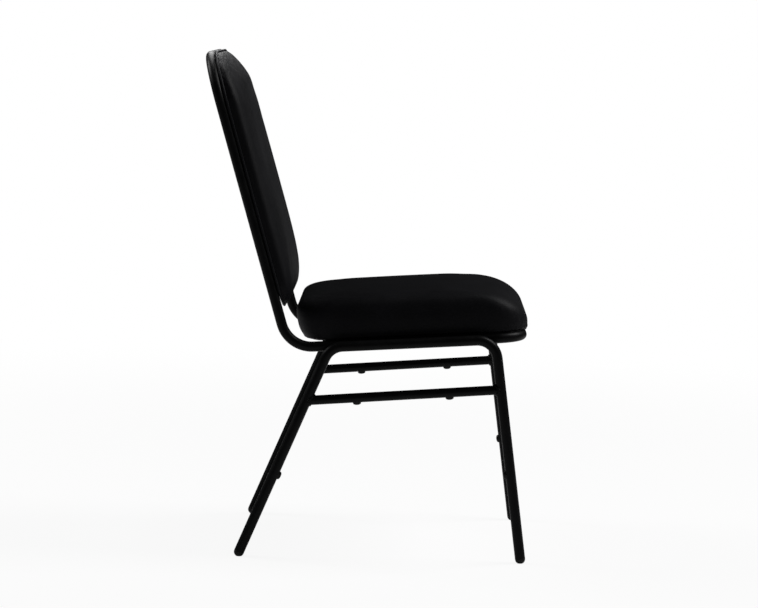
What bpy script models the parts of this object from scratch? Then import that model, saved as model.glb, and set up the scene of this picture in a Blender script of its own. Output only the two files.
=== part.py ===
"""A stacking banquet chair: bent steel tube with an upholstered seat and back.

Metres, +Z up. The chair faces -Y and X runs across it. Distances ahead are counted from the middle
between the front and rear feet, so a point that lies ahead has a negative Y.
"""
import math
from collections import namedtuple

import bmesh
import bpy
from mathutils import Matrix, Vector

# Fits
FIT_GAP = 0.0003

# Tube stock
FRAME_TUBE_OD = 0.019
FRAME_TUBE_WALL = 0.0014
BRACE_TUBE_OD = 0.0175
BRACE_TUBE_WALL = 0.0012

# Leg frames, one bent tube a side
LEG_FRAME_SPACING = 0.420
REAR_FOOT_BEHIND = 0.2647
FRONT_FOOT_AHEAD = 0.2614
REAR_LEG_LEAN = math.radians(22.57)
FRONT_LEG_LEAN = math.radians(8.0)
SEAT_RAIL_HEIGHT = 0.4018
SEAT_PITCH = math.radians(4.08)
LEG_BEND_RADIUS = 0.037

# Side braces between the legs
BRACE_HEIGHT = 0.3059
BRACE_PITCH = math.radians(4.67)

# Back hoop, whose lower ends run forward beside the leg rails
BACK_LEAN = math.radians(16.51)
BACK_LINE_BEHIND = 0.0630
RAIL_BELOW_PAD_TOP = 0.0055
LOWER_BEND_RADIUS = 0.057
TOP_CORNER_RADIUS = 0.088

# Seat tube that closes the front, spliced to the ends of the hoop
SEAT_TUBE_AHEAD = 0.2540
SEAT_CORNER_RADIUS = 0.045
SPLICE_AHEAD = 0.020
FERRULE_LENGTH = 0.050
FERRULE_WALL = 0.002

# Flat bars under the seat and tabs on the hoop
STRAP_WIDTH = 0.030
STRAP_THICKNESS = 0.004
FRONT_STRAP_BEHIND_TUBE = 0.074
REAR_STRAP_INSIDE_SEAT = 0.0694
SEAT_SCREW_INBOARD = 0.0765
TAB_HEIGHT = 0.028
TAB_REACH = 0.036
TAB_THICKNESS = 0.003
UPPER_TAB_BELOW_PAD_TOP = 0.106
LOWER_TAB_ABOVE_PAD_BOTTOM = 0.090
TAB_SCREW_INBOARD = 0.025
BAR_DROP = 0.001

# Upholstery layers
COVER_THICKNESS = 0.0012
COVER_LIP = 0.018
SEAT_BOARD_THICKNESS = 0.013
BACK_BOARD_THICKNESS = 0.009
BOARD_EDGE_ROOM = 0.0045
DUST_COVER_THICKNESS = 0.0008
REAR_PANEL_THICKNESS = 0.001
PIPING_OD = 0.005

# How late a pad's crown falls to its shoulder, as a power
CROWN_FALL = 6

# Seat pad, measured in the plane of the seat rails
SEAT_INSIDE_LEG_FRAME = 0.0135
SEAT_AHEAD_OF_TUBE = 0.0149
SEAT_REAR = 0.1644
SEAT_FRONT_CORNER = 0.060
SEAT_REAR_CORNER = 0.060
SEAT_CROWN = 0.0960

# Back pad, measured up the back from the floor
BACK_INSIDE_LEG_FRAME = 0.0135
BACK_PAD_BOTTOM = 0.480
BACK_PAD_TOP = 0.966
BACK_BOTTOM_CORNER = 0.040
BACK_TOP_CORNER = 0.094
BACK_CROWN = 0.0490

# Fasteners
SCREW_OD = 0.006
SCREW_HEAD_OD = 0.0116
SCREW_HEAD_HEIGHT = 0.0034
SCREW_HEAD_ROUND = 0.0016
SCREW_TIP = 0.0015
SCREW_SOCKET = 0.0040
SCREW_SOCKET_DEPTH = 0.0017
SCREW_HOLE_ROOM = 0.0006
WASHER_OD = 0.016
WASHER_THICKNESS = 0.0012
NUT_FLANGE_OD = 0.019
NUT_FLANGE_THICKNESS = 0.0014
NUT_BARREL_WALL = 0.001

# Stack bumpers and foot glides
BUMPER_LENGTH = 0.017
BUMPER_WIDTH = 0.013
BUMPER_PROUD = 0.0045
BUMPER_SINK = 0.004
BUMPER_STEM_OD = 0.006
BUMPER_STEM_DEPTH = 0.006
REAR_BRACE_BUMPER_BEHIND = 0.0495
FRONT_BRACE_BUMPER_AHEAD = 0.121
REAR_LEG_BUMPER_HEIGHT = 0.157
FRONT_LEG_BUMPER_HEIGHT = 0.166
GLIDE_CENTRE_HEIGHT = 0.008
GLIDE_COLLAR = 0.002
GLIDE_STEM = 0.018
GLIDE_CHAMFER = 0.002

# Fineness of the round surfaces
TUBE_SIDES = 16
CUTTER_SIDES = 24
TURNED_SIDES = 12
BEND_STEPS = 6
DOME_STEPS = 4
PAD_CORNER_STEPS = 5
PAD_SIDE_STEPS = 5
PAD_LOW_STEPS = 3
PAD_ROLL_STEPS = 5
PAD_CROWN_STEPS = 3
PIPING_SIDES = 8
HEX_SIDES = 6
SMOOTH_ANGLE = math.radians(40)
MERGE_DISTANCE = 1e-6

# Sizes that follow from those above
FRAME_RADIUS = FRAME_TUBE_OD / 2
BRACE_RADIUS = BRACE_TUBE_OD / 2
FRAME_BORE_RADIUS = FRAME_RADIUS - FRAME_TUBE_WALL
LEG_X = LEG_FRAME_SPACING / 2
BACK_X = LEG_X - FRAME_TUBE_OD - FIT_GAP
SEAT_HALF_WIDTH = LEG_X - SEAT_INSIDE_LEG_FRAME
BACK_HALF_WIDTH = LEG_X - BACK_INSIDE_LEG_FRAME
SEAT_FRONT = SEAT_TUBE_AHEAD + SEAT_AHEAD_OF_TUBE
SEAT_SCREW_X = SEAT_HALF_WIDTH - SEAT_SCREW_INBOARD
FRONT_STRAP_AHEAD = SEAT_TUBE_AHEAD - FRONT_STRAP_BEHIND_TUBE
REAR_STRAP_BEHIND = SEAT_REAR - REAR_STRAP_INSIDE_SEAT
BACK_TOP_RAIL = BACK_PAD_TOP - RAIL_BELOW_PAD_TOP
UPPER_TAB = BACK_PAD_TOP - UPPER_TAB_BELOW_PAD_TOP
LOWER_TAB = BACK_PAD_BOTTOM + LOWER_TAB_ABOVE_PAD_BOTTOM
TAB_SCREW_X = BACK_X - TAB_SCREW_INBOARD
PAD_FLOOR = FRAME_RADIUS + FIT_GAP
BOARD_FLOOR = PAD_FLOOR + COVER_THICKNESS + FIT_GAP
SEAT_BOARD_TOP = BOARD_FLOOR + SEAT_BOARD_THICKNESS
BACK_BOARD_TOP = BOARD_FLOOR + BACK_BOARD_THICKNESS
BAR_TOP = FRAME_RADIUS - BAR_DROP
SCREW_HOLE_OD = SCREW_OD + SCREW_HOLE_ROOM
NUT_BARREL_OD = SCREW_HOLE_OD + 2 * NUT_BARREL_WALL
SIDES = (("left", 1), ("right", -1))

# How a pad's edge is shaped: how far its foot is drawn in, how far its upper roll reaches in, the
# heights where it is widest and where the roll ends, and how full the roll is (2 is an ellipse)
Edge = namedtuple("Edge", "tuck roll widest top fullness")
Pad = namedtuple("Pad", "half_width low_end high_end low_corner high_corner side low high crown board_top")

SEAT_PAD = Pad(
    SEAT_HALF_WIDTH, -SEAT_FRONT, SEAT_REAR, SEAT_FRONT_CORNER, SEAT_REAR_CORNER,
    side=Edge(tuck=0.004, roll=0.024, widest=0.045, top=0.0875, fullness=2.2),
    low=Edge(tuck=0.0044, roll=0.0854, widest=0.0227, top=0.0848, fullness=1.855),
    high=Edge(tuck=0.0261, roll=0.0725, widest=0.066, top=0.0905, fullness=2.39),
    crown=SEAT_CROWN, board_top=SEAT_BOARD_TOP)
BACK_PAD = Pad(
    BACK_HALF_WIDTH, BACK_PAD_BOTTOM, BACK_PAD_TOP, BACK_BOTTOM_CORNER, BACK_TOP_CORNER,
    side=Edge(tuck=0.004, roll=0.050, widest=0.024, top=0.0435, fullness=1.9),
    low=Edge(tuck=0.004, roll=0.0623, widest=0.016, top=0.0404, fullness=1.67),
    high=Edge(tuck=0.004, roll=0.065, widest=0.014, top=0.0483, fullness=1.24),
    crown=BACK_CROWN, board_top=BACK_BOARD_TOP)


# Scene helpers

def clear_scene():
    """Removes every object of the open scene."""
    for obj in list(bpy.data.objects):
        bpy.data.objects.remove(obj)


def make_material(name, colour, roughness, metallic):
    """A plain finish with one colour."""
    material = bpy.data.materials.new(name)
    material.use_nodes = True
    shader = material.node_tree.nodes["Principled BSDF"]
    shader.inputs["Base Color"].default_value = (*colour, 1.0)
    shader.inputs["Roughness"].default_value = roughness
    shader.inputs["Metallic"].default_value = metallic
    return material


def add_empty(name, parent, matrix):
    """An empty that carries pieces in its own frame."""
    empty = bpy.data.objects.new(name, None)
    bpy.context.collection.objects.link(empty)
    empty.parent = parent
    empty.location = matrix.to_translation()
    empty.rotation_euler = matrix.to_euler()
    return empty


def add_piece(name, mesh, parent):
    """An object for a mesh, which other objects may share."""
    obj = bpy.data.objects.new(name, mesh)
    bpy.context.collection.objects.link(obj)
    obj.parent = parent
    return obj


def to_mesh(name, bm, material, outward=True):
    """A smooth-shaded mesh from a bmesh, with its faces turned outward."""
    if outward:
        bmesh.ops.recalc_face_normals(bm, faces=bm.faces)
    mesh = bpy.data.meshes.new(name)
    bm.to_mesh(mesh)
    bm.free()
    mesh.materials.append(material)
    shade(mesh)
    return mesh


def shade(mesh):
    """Smooth shading with sharp edges kept."""
    mesh.shade_smooth()
    mesh.set_sharp_from_angle(angle=SMOOTH_ANGLE)


def combine(obj, tool_bm, operation="DIFFERENCE"):
    """Cuts a bmesh in the object's own frame out of it, or joins it on."""
    tool = add_piece("tool", to_mesh("tool", tool_bm, obj.data.materials[0]), obj)
    tool.hide_render = True
    tool.display_type = "WIRE"
    modifier = obj.modifiers.new("shape", "BOOLEAN")
    modifier.object = tool
    modifier.operation = operation
    modifier.solver = "EXACT"
    bpy.context.view_layer.update()
    evaluated = obj.evaluated_get(bpy.context.evaluated_depsgraph_get())
    mesh = bpy.data.meshes.new_from_object(evaluated)
    mesh.name = obj.name
    obj.modifiers.clear()
    obj.data = mesh
    bpy.data.objects.remove(tool)
    shade(mesh)


# Geometry helpers

def chair_point(x, ahead, height):
    """A point of the chair from its distance ahead of the middle of the feet."""
    return Vector((x, -ahead, height))


def meet(line, other):
    """Where two lines of a side view cross, each a point and a direction as (ahead, height)."""
    (p, d), (q, e) = line, other
    reach = (q - p).cross(e) / d.cross(e)
    return p + d * reach


def rounded_path(corners, radii):
    """A path through corners, with each inner corner bent to its radius."""
    path = [corners[0]]
    for before, corner, after, radius in zip(corners, corners[1:], corners[2:], radii):
        back = (before - corner).normalized()
        ahead = (after - corner).normalized()
        half = back.angle(ahead) / 2
        centre = corner + (back + ahead).normalized() * (radius / math.sin(half))
        start = corner + back * (radius / math.tan(half))
        turn = math.pi - 2 * half
        axis = ahead.cross(back)
        steps = max(2, math.ceil(BEND_STEPS * turn / (math.pi / 2)))
        for step in range(steps + 1):
            swing = Matrix.Rotation(turn * step / steps, 3, axis)
            path.append(centre + swing @ (start - centre))
    path.append(corners[-1])
    return path


def path_directions(path):
    """Direction of travel at each point of an open path."""
    directions = [(path[1] - path[0]).normalized()]
    for before, point, after in zip(path, path[1:], path[2:]):
        directions.append(((point - before).normalized() + (after - point).normalized()).normalized())
    directions.append((path[-1] - path[-2]).normalized())
    return directions


def ring_of(bm, centre, side, up, radius, sides):
    """Vertices of one round section."""
    ring = []
    for index in range(sides):
        angle = 2 * math.pi * index / sides
        ring.append(bm.verts.new(centre + radius * (math.cos(angle) * side + math.sin(angle) * up)))
    return ring


def bridge(bm, first, second):
    """Faces between two rings with the same number of vertices."""
    for index in range(len(first)):
        after = (index + 1) % len(first)
        bm.faces.new((first[index], first[after], second[after], second[index]))


def swept_tube(path, radius, wall):
    """A hollow tube along a path, open at both ends."""
    bm = bmesh.new()
    directions = path_directions(path)
    side = directions[0].orthogonal().normalized()
    previous = directions[0]
    outer_rings = []
    inner_rings = []
    for point, direction in zip(path, directions):
        side = previous.rotation_difference(direction) @ side
        previous = direction
        up = direction.cross(side)
        outer_rings.append(ring_of(bm, point, side, up, radius, TUBE_SIDES))
        inner_rings.append(ring_of(bm, point, side, up, radius - wall, TUBE_SIDES))
    for rings in (outer_rings, inner_rings):
        for first, second in zip(rings, rings[1:]):
            bridge(bm, first, second)
    bridge(bm, outer_rings[0], inner_rings[0])
    bridge(bm, outer_rings[-1], inner_rings[-1])
    return bm


def swept_loop(path, radius, sides):
    """A solid cord round a closed flat path that lies level."""
    bm = bmesh.new()
    rings = []
    for index, point in enumerate(path):
        ahead = path[(index + 1) % len(path)] - path[index - 1]
        outward = Vector((ahead.y, -ahead.x, 0.0)).normalized()
        rings.append(ring_of(bm, point, outward, Vector((0.0, 0.0, 1.0)), radius, sides))
    for index, ring in enumerate(rings):
        bridge(bm, rings[index - 1], ring)
    return bm


def round_bar(start, end, radius, sides=CUTTER_SIDES):
    """A solid round bar between two points."""
    axis = end - start
    turn = axis.to_track_quat("Z", "Y").to_matrix().to_4x4()
    bm = bmesh.new()
    bmesh.ops.create_cone(bm, cap_ends=True, segments=sides, radius1=radius, radius2=radius,
                          depth=axis.length, matrix=Matrix.Translation((start + end) / 2) @ turn)
    return bm


def upright_bar(x, y, low, high, radius, sides=CUTTER_SIDES):
    """A solid round bar along Z."""
    return round_bar(Vector((x, y, low)), Vector((x, y, high)), radius, sides)


def block(low, high):
    """A solid block between two corners."""
    bm = bmesh.new()
    size = Matrix.Diagonal((*(high - low), 1.0))
    bmesh.ops.create_cube(bm, size=1.0, matrix=Matrix.Translation((low + high) / 2) @ size)
    return bm


def turned(profile, closed=False):
    """A body turned round Z from (radius, height) points, with a bore where the profile is closed."""
    bm = bmesh.new()
    verts = [bm.verts.new((radius, 0.0, height)) for radius, height in profile]
    edges = [bm.edges.new(pair) for pair in zip(verts, verts[1:])]
    if closed:
        edges.append(bm.edges.new((verts[-1], verts[0])))
    bmesh.ops.spin(bm, geom=verts + edges, cent=(0, 0, 0), axis=(0, 0, 1), angle=2 * math.pi,
                   steps=TURNED_SIDES, use_merge=True)
    bmesh.ops.remove_doubles(bm, verts=bm.verts, dist=MERGE_DISTANCE)
    return bm


def set_frame(obj, origin, x_axis, z_axis):
    """Places an object with its X and Z along two directions at right angles."""
    rotation = Matrix((x_axis, z_axis.cross(x_axis), z_axis)).transposed()
    obj.location = origin
    obj.rotation_euler = rotation.to_euler()


# Lines of the side view, as a point and a direction in (ahead, height)
REAR_LEG = (Vector((-REAR_FOOT_BEHIND, 0)), Vector((math.sin(REAR_LEG_LEAN), math.cos(REAR_LEG_LEAN))))
FRONT_LEG = (Vector((FRONT_FOOT_AHEAD, 0)), Vector((-math.sin(FRONT_LEG_LEAN), math.cos(FRONT_LEG_LEAN))))
SEAT_RAIL = (Vector((0, SEAT_RAIL_HEIGHT)), Vector((math.cos(SEAT_PITCH), math.sin(SEAT_PITCH))))
BRACE = (Vector((0, BRACE_HEIGHT)), Vector((math.cos(BRACE_PITCH), math.sin(BRACE_PITCH))))
BACK = (Vector((-BACK_LINE_BEHIND, 0)), Vector((-math.sin(BACK_LEAN), math.cos(BACK_LEAN))))


def leg_at_height(leg, height):
    """Point of a leg's centreline at a height, in (ahead, height)."""
    foot, direction = leg
    return foot + direction * (height / direction.y)


def leg_bumper_seat(leg, height, inward):
    """Axis point and outward direction of a leg's bumper, in (ahead, height)."""
    along = leg[1]
    return leg_at_height(leg, height), Vector((along.y, -along.x)) * inward


def brace_bumper_seat(ahead):
    """Axis point and downward direction of a brace's bumper, in (ahead, height)."""
    start, along = BRACE
    return start + along * (ahead / along.x), Vector((along.y, -along.x))


REAR_LEG_BUMPER = leg_bumper_seat(REAR_LEG, REAR_LEG_BUMPER_HEIGHT, 1)
FRONT_LEG_BUMPER = leg_bumper_seat(FRONT_LEG, FRONT_LEG_BUMPER_HEIGHT, -1)
REAR_BRACE_BUMPER = brace_bumper_seat(-REAR_BRACE_BUMPER_BEHIND)
FRONT_BRACE_BUMPER = brace_bumper_seat(FRONT_BRACE_BUMPER_AHEAD)

# Frames of the seat (Y rearward, Z off the rails) and of the back (Y up the back, Z off its front)
SEAT_FACE = Matrix.Translation(chair_point(0, 0, SEAT_RAIL_HEIGHT)) @ Matrix.Rotation(-SEAT_PITCH, 4, "X")
BACK_FACE = (Matrix.Translation(chair_point(0, -BACK_LINE_BEHIND, 0))
             @ Matrix.Rotation(math.pi / 2 - BACK_LEAN, 4, "X"))


# Steel frame

def leg_end(leg):
    """Lower end of a leg tube, seated on its glide's collar."""
    return leg_at_height(leg, GLIDE_CENTRE_HEIGHT) + leg[1] * (GLIDE_COLLAR + FIT_GAP)


def drill(obj, start, direction, depth):
    """A hole for a bumper's stem from a tube's axis out through one wall."""
    combine(obj, round_bar(start, start + direction * depth, BUMPER_STEM_OD / 2 + FIT_GAP, TURNED_SIDES))


def leg_frame(name, x, steel, parent):
    """Rear leg, seat rail and front leg bent from one tube."""
    stations = (leg_end(REAR_LEG), meet(REAR_LEG, SEAT_RAIL), meet(FRONT_LEG, SEAT_RAIL), leg_end(FRONT_LEG))
    corners = [chair_point(x, *station) for station in stations]
    path = rounded_path(corners, (LEG_BEND_RADIUS, LEG_BEND_RADIUS))
    mesh = to_mesh(name, swept_tube(path, FRAME_RADIUS, FRAME_TUBE_WALL), steel)
    frame = add_piece(name, mesh, parent)
    for origin, out in (REAR_LEG_BUMPER, FRONT_LEG_BUMPER):
        drill(frame, chair_point(x, *origin), chair_point(0, *out), FRAME_TUBE_OD)


def side_brace(name, x, steel, parent):
    """Tube between the legs, with its ends shaped to them."""
    ends = [chair_point(x, *meet(BRACE, leg)) for leg in (REAR_LEG, FRONT_LEG)]
    brace = add_piece(name, to_mesh(name, swept_tube(ends, BRACE_RADIUS, BRACE_TUBE_WALL), steel), parent)
    for leg, end in zip((REAR_LEG, FRONT_LEG), ends):
        reach = chair_point(0, *leg[1]) * FRAME_TUBE_OD * 2
        combine(brace, round_bar(end - reach, end + reach, FRAME_RADIUS + FIT_GAP))
    for origin, out in (REAR_BRACE_BUMPER, FRONT_BRACE_BUMPER):
        drill(brace, chair_point(x, *origin), chair_point(0, *out), BRACE_TUBE_OD)


def back_frame(steel, parent):
    """Hoop of the back with its two lower ends bent forward under the seat."""
    lower = meet(SEAT_RAIL, BACK)
    splice = SEAT_FACE @ Vector((0, -(SPLICE_AHEAD - FIT_GAP / 2), 0))
    top = BACK_FACE @ Vector((0, BACK_TOP_RAIL, 0))
    bend = chair_point(0, *lower)
    across = Vector((BACK_X, 0, 0))
    corners = [splice + across, bend + across, top + across, top - across, bend - across, splice - across]
    radii = (LOWER_BEND_RADIUS, TOP_CORNER_RADIUS, TOP_CORNER_RADIUS, LOWER_BEND_RADIUS)
    path = rounded_path(corners, radii)
    mesh = to_mesh("back_frame", swept_tube(path, FRAME_RADIUS, FRAME_TUBE_WALL), steel)
    add_piece("back_frame", mesh, parent)


def seat_front_tube(steel, parent):
    """U-shaped tube under the front of the seat, from splice to splice."""
    splice = -(SPLICE_AHEAD + FIT_GAP / 2)
    corners = [Vector((BACK_X, splice, 0)), Vector((BACK_X, -SEAT_TUBE_AHEAD, 0)),
               Vector((-BACK_X, -SEAT_TUBE_AHEAD, 0)), Vector((-BACK_X, splice, 0))]
    path = rounded_path(corners, (SEAT_CORNER_RADIUS, SEAT_CORNER_RADIUS))
    mesh = to_mesh("seat_front_tube", swept_tube(path, FRAME_RADIUS, FRAME_TUBE_WALL), steel)
    add_piece("seat_front_tube", mesh, parent)


def splice_ferrule(name, x, steel, parent):
    """Sleeve inside the tubes where they meet."""
    half = Vector((0, FERRULE_LENGTH / 2, 0))
    middle = Vector((x, -SPLICE_AHEAD, 0))
    path = [middle - half, middle + half]
    bm = swept_tube(path, FRAME_BORE_RADIUS - FIT_GAP, FERRULE_WALL)
    add_piece(name, to_mesh(name, bm, steel), parent)


def fit_between_tubes(obj, y, length, sides):
    """Shapes a bar's ends to the tubes at the given sides, which run along Y."""
    for side in sides:
        start = Vector((side * BACK_X, y - length, 0))
        end = Vector((side * BACK_X, y + length, 0))
        combine(obj, round_bar(start, end, FRAME_RADIUS + FIT_GAP))


def seat_strap(name, y, steel, parent):
    """Flat bar across the seat tubes, with the seat's screw holes."""
    low = Vector((-BACK_X, y - STRAP_WIDTH / 2, BAR_TOP - STRAP_THICKNESS))
    high = Vector((BACK_X, y + STRAP_WIDTH / 2, BAR_TOP))
    strap = add_piece(name, to_mesh(name, block(low, high), steel), parent)
    fit_between_tubes(strap, y, STRAP_WIDTH, (1, -1))
    for side in (1, -1):
        combine(strap, screw_hole(side * SEAT_SCREW_X, y, low.z, high.z))


def back_tab(name, side, y, steel, parent):
    """Plate on the inner side of the hoop, with one of the back's screw holes."""
    inner = side * (BACK_X - TAB_REACH)
    outer = side * BACK_X
    low = Vector((min(inner, outer), y - TAB_HEIGHT / 2, BAR_TOP - TAB_THICKNESS))
    high = Vector((max(inner, outer), y + TAB_HEIGHT / 2, BAR_TOP))
    tab = add_piece(name, to_mesh(name, block(low, high), steel), parent)
    fit_between_tubes(tab, y, TAB_HEIGHT, (side,))
    combine(tab, screw_hole(side * TAB_SCREW_X, y, low.z, high.z))


# Upholstery

def pad_outline(pad):
    """Points round a pad's plan with their outward directions, anticlockwise."""
    corners = []
    for x_sign, end, y_sign, radius, start in (
            (1, pad.low_end, 1, pad.low_corner, -math.pi / 2),
            (1, pad.high_end, -1, pad.high_corner, 0.0),
            (-1, pad.high_end, -1, pad.high_corner, math.pi / 2),
            (-1, pad.low_end, 1, pad.low_corner, math.pi)):
        centre = Vector((x_sign * (pad.half_width - radius), end + y_sign * radius))
        arc = []
        for step in range(PAD_CORNER_STEPS + 1):
            angle = start + math.pi / 2 * step / PAD_CORNER_STEPS
            out = Vector((math.cos(angle), math.sin(angle)))
            arc.append((centre + out * radius, out))
        corners.append(arc)
    outline = []
    for arc, following in zip(corners, corners[1:] + corners[:1]):
        outline += arc
        (start, out), end = arc[-1], following[0][0]
        for step in range(1, PAD_SIDE_STEPS):
            outline.append((start.lerp(end, step / PAD_SIDE_STEPS), out))
    return outline


def pad_plan(pad, side_in, low_in, high_in):
    """A pad's plan drawn in by its own amount at the sides, at the low end and at the high end."""
    middle = (pad.low_end + pad.high_end) / 2
    reach = (pad.high_end - pad.low_end) / 2
    points = []
    for point, _ in pad_outline(pad):
        end_in = high_in if point.y > middle else low_in
        x = point.x * (1 - side_in / pad.half_width)
        y = middle + (point.y - middle) * (1 - end_in / reach)
        points.append(Vector((x, y)))
    return points


def pad_inset(pad, extra):
    """A pad's plan at its foot, drawn in further by an extra amount."""
    return pad_plan(pad, pad.side.tuck + extra, pad.low.tuck + extra, pad.high.tuck + extra)


def edge_profile(edge):
    """(inset, height) points of an edge, from the inner side of its lip to the end of its roll."""
    power = 2 / edge.fullness
    profile = [(edge.tuck + COVER_LIP, PAD_FLOOR), (edge.tuck, PAD_FLOOR)]
    for step in range(1, PAD_LOW_STEPS + 1):
        angle = math.pi / 2 * step / PAD_LOW_STEPS
        rise = (edge.widest - PAD_FLOOR) * (1 - max(0.0, math.cos(angle)) ** power)
        profile.append((edge.tuck * (1 - math.sin(angle) ** power), PAD_FLOOR + rise))
    for step in range(1, PAD_ROLL_STEPS + 1):
        angle = math.pi / 2 * step / PAD_ROLL_STEPS
        inset = edge.roll * (1 - max(0.0, math.cos(angle)) ** power)
        profile.append((inset, edge.widest + (edge.top - edge.widest) * math.sin(angle) ** power))
    return profile


def crown_point(pad, shoulder_point, summit, level, share):
    """A point between the summit and the shoulder of a pad, on a crown that is round both ways."""
    point = summit.lerp(shoulder_point, share)
    reach = (pad.high_end - pad.low_end) / 2
    bulge = (1 - (point.x / pad.half_width) ** 2) * (1 - ((point.y - summit.y) / reach) ** 2)
    edge_rise = (shoulder_point.z - level) * share ** 2
    point.z = level + edge_rise + (summit.z - level) * bulge * (1 - share ** CROWN_FALL)
    return point


def pad_rings(pad):
    """Rings of points over a pad's surface, from its lip up to the ring round its crown."""
    directions = [out for _, out in pad_outline(pad)]
    rings = []
    for side, low, high in zip(edge_profile(pad.side), edge_profile(pad.low), edge_profile(pad.high)):
        ring = []
        for point, out in zip(pad_plan(pad, side[0], low[0], high[0]), directions):
            end_height = high[1] if out.y > 0 else low[1]
            ring.append(Vector((point.x, point.y, side[1] * out.x ** 2 + end_height * out.y ** 2)))
        rings.append(ring)
    shoulder = rings[-1]
    summit = Vector((0, (pad.low_end + pad.high_end) / 2, pad.crown))
    level = sum(point.z for point in shoulder) / len(shoulder)
    for step in range(1, PAD_CROWN_STEPS):
        share = 1 - step / PAD_CROWN_STEPS
        rings.append([crown_point(pad, point, summit, level, share) for point in shoulder])
    return rings, summit


def pad_skin(pad):
    """Outer surface of a pad, facing out and open inside its lip."""
    rings, summit = pad_rings(pad)
    bm = bmesh.new()
    loops = [[bm.verts.new(point) for point in ring] for ring in rings]
    for first, second in zip(loops, loops[1:]):
        bridge(bm, first, second)
    peak = bm.verts.new(summit)
    for index, vert in enumerate(loops[-1]):
        bm.faces.new((loops[-1][index - 1], vert, peak))
    return bm


def cover(name, pad, vinyl, parent):
    """Sewn skin over a pad, folded under its board as a lip."""
    obj = add_piece(name, to_mesh(name, pad_skin(pad), vinyl, outward=False), parent)
    modifier = obj.modifiers.new("thickness", "SOLIDIFY")
    modifier.thickness = COVER_THICKNESS
    modifier.offset = -1.0
    modifier.use_even_offset = True


def foam(name, pad, material, parent):
    """Filling between the board and the cover, a gap inside the cover."""
    bm = pad_skin(pad)
    bm.normal_update()
    inward = COVER_THICKNESS + FIT_GAP
    moves = [(vert, vert.normal * (inward * vert.calc_shell_factor())) for vert in bm.verts]
    for vert, move in moves:
        vert.co -= move
    floor = Vector((0, 0, pad.board_top + FIT_GAP))
    bmesh.ops.bisect_plane(bm, geom=bm.verts[:] + bm.edges[:] + bm.faces[:], plane_co=floor,
                           plane_no=(0, 0, 1), clear_inner=True)
    bmesh.ops.holes_fill(bm, edges=[edge for edge in bm.edges if edge.is_boundary])
    add_piece(name, to_mesh(name, bm, material), parent)


def plate(plan, low, high):
    """A flat plate with the given plan."""
    bm = bmesh.new()
    bottom = [bm.verts.new((point.x, point.y, low)) for point in plan]
    top = [bm.verts.new((point.x, point.y, high)) for point in plan]
    bridge(bm, bottom, top)
    bm.faces.new(bottom)
    bm.faces.new(top)
    return bm


def screw_hole(x, y, low, high):
    """Cutter for a screw's clearance hole through a layer."""
    return upright_bar(x, y, low - FIT_GAP, high + FIT_GAP, SCREW_HOLE_OD / 2, TURNED_SIDES)


def pad_board(name, pad, screws, wood, parent):
    """Plywood under the foam, with a stepped hole for each T-nut."""
    plan = pad_inset(pad, COVER_THICKNESS + BOARD_EDGE_ROOM)
    board = add_piece(name, to_mesh(name, plate(plan, BOARD_FLOOR, pad.board_top), wood), parent)
    low = BOARD_FLOOR - FIT_GAP
    high = pad.board_top + FIT_GAP
    recess = pad.board_top - NUT_FLANGE_THICKNESS - 2 * FIT_GAP
    barrel = NUT_BARREL_OD / 2 + FIT_GAP
    flange = NUT_FLANGE_OD / 2 + FIT_GAP
    for x, y in screws:
        combine(board, upright_bar(x, y, low, high, barrel, TURNED_SIDES))
        combine(board, upright_bar(x, y, recess, high, flange, TURNED_SIDES))


def closing_panel(name, pad, thickness, screws, material, parent):
    """Thin panel inside the cover's lip that closes the underside of the pad."""
    plan = pad_inset(pad, COVER_LIP + 2 * FIT_GAP)
    top = BOARD_FLOOR - FIT_GAP
    panel = add_piece(name, to_mesh(name, plate(plan, top - thickness, top), material), parent)
    for x, y in screws:
        combine(panel, screw_hole(x, y, top - thickness, top))


def foot_inset(edge, height):
    """How far an edge's lower curve is drawn in at a height above the foot."""
    rise = min(1.0, (height - PAD_FLOOR) / (edge.widest - PAD_FLOOR))
    angle = math.acos((1 - rise) ** (edge.fullness / 2))
    return edge.tuck * (1 - math.sin(angle) ** (2 / edge.fullness))


def piping(name, pad, vinyl, parent):
    """Cord sewn round the rear edge of a pad, against the foot of its cover."""
    radius = PIPING_OD / 2
    out = radius + FIT_GAP
    insets = [foot_inset(edge, PAD_FLOOR + PIPING_OD) - out for edge in (pad.side, pad.low, pad.high)]
    path = [Vector((point.x, point.y, PAD_FLOOR + radius)) for point in pad_plan(pad, *insets)]
    add_piece(name, to_mesh(name, swept_loop(path, radius, PIPING_SIDES), vinyl), parent)


# Fasteners

def screw_mesh(name, length, steel):
    """Pan-head screw along Z, with the underside of its head at the origin."""
    head = SCREW_HEAD_OD / 2
    shank = SCREW_OD / 2
    crown = SCREW_HEAD_HEIGHT
    profile = [(0, -crown), (head - SCREW_HEAD_ROUND, -crown), (head, SCREW_HEAD_ROUND - crown), (head, 0),
               (shank, 0), (shank, length - SCREW_TIP), (shank - SCREW_TIP, length), (0, length)]
    obj = add_piece(name, to_mesh(name, turned(profile), steel), None)
    socket = SCREW_SOCKET / math.sqrt(3)
    combine(obj, upright_bar(0, 0, -crown - FIT_GAP, SCREW_SOCKET_DEPTH - crown, socket, HEX_SIDES))
    mesh = obj.data
    bpy.data.objects.remove(obj)
    return mesh


def nut_mesh(name, length, steel):
    """T-nut along Z, with the underside of its flange at the origin and its barrel below."""
    bore = SCREW_OD / 2 + FIT_GAP
    barrel = NUT_BARREL_OD / 2
    flange = NUT_FLANGE_OD / 2
    profile = [(bore, -length), (barrel, -length), (barrel, 0), (flange, 0), (flange, NUT_FLANGE_THICKNESS),
               (bore, NUT_FLANGE_THICKNESS)]
    return to_mesh(name, turned(profile, closed=True), steel)


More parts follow.
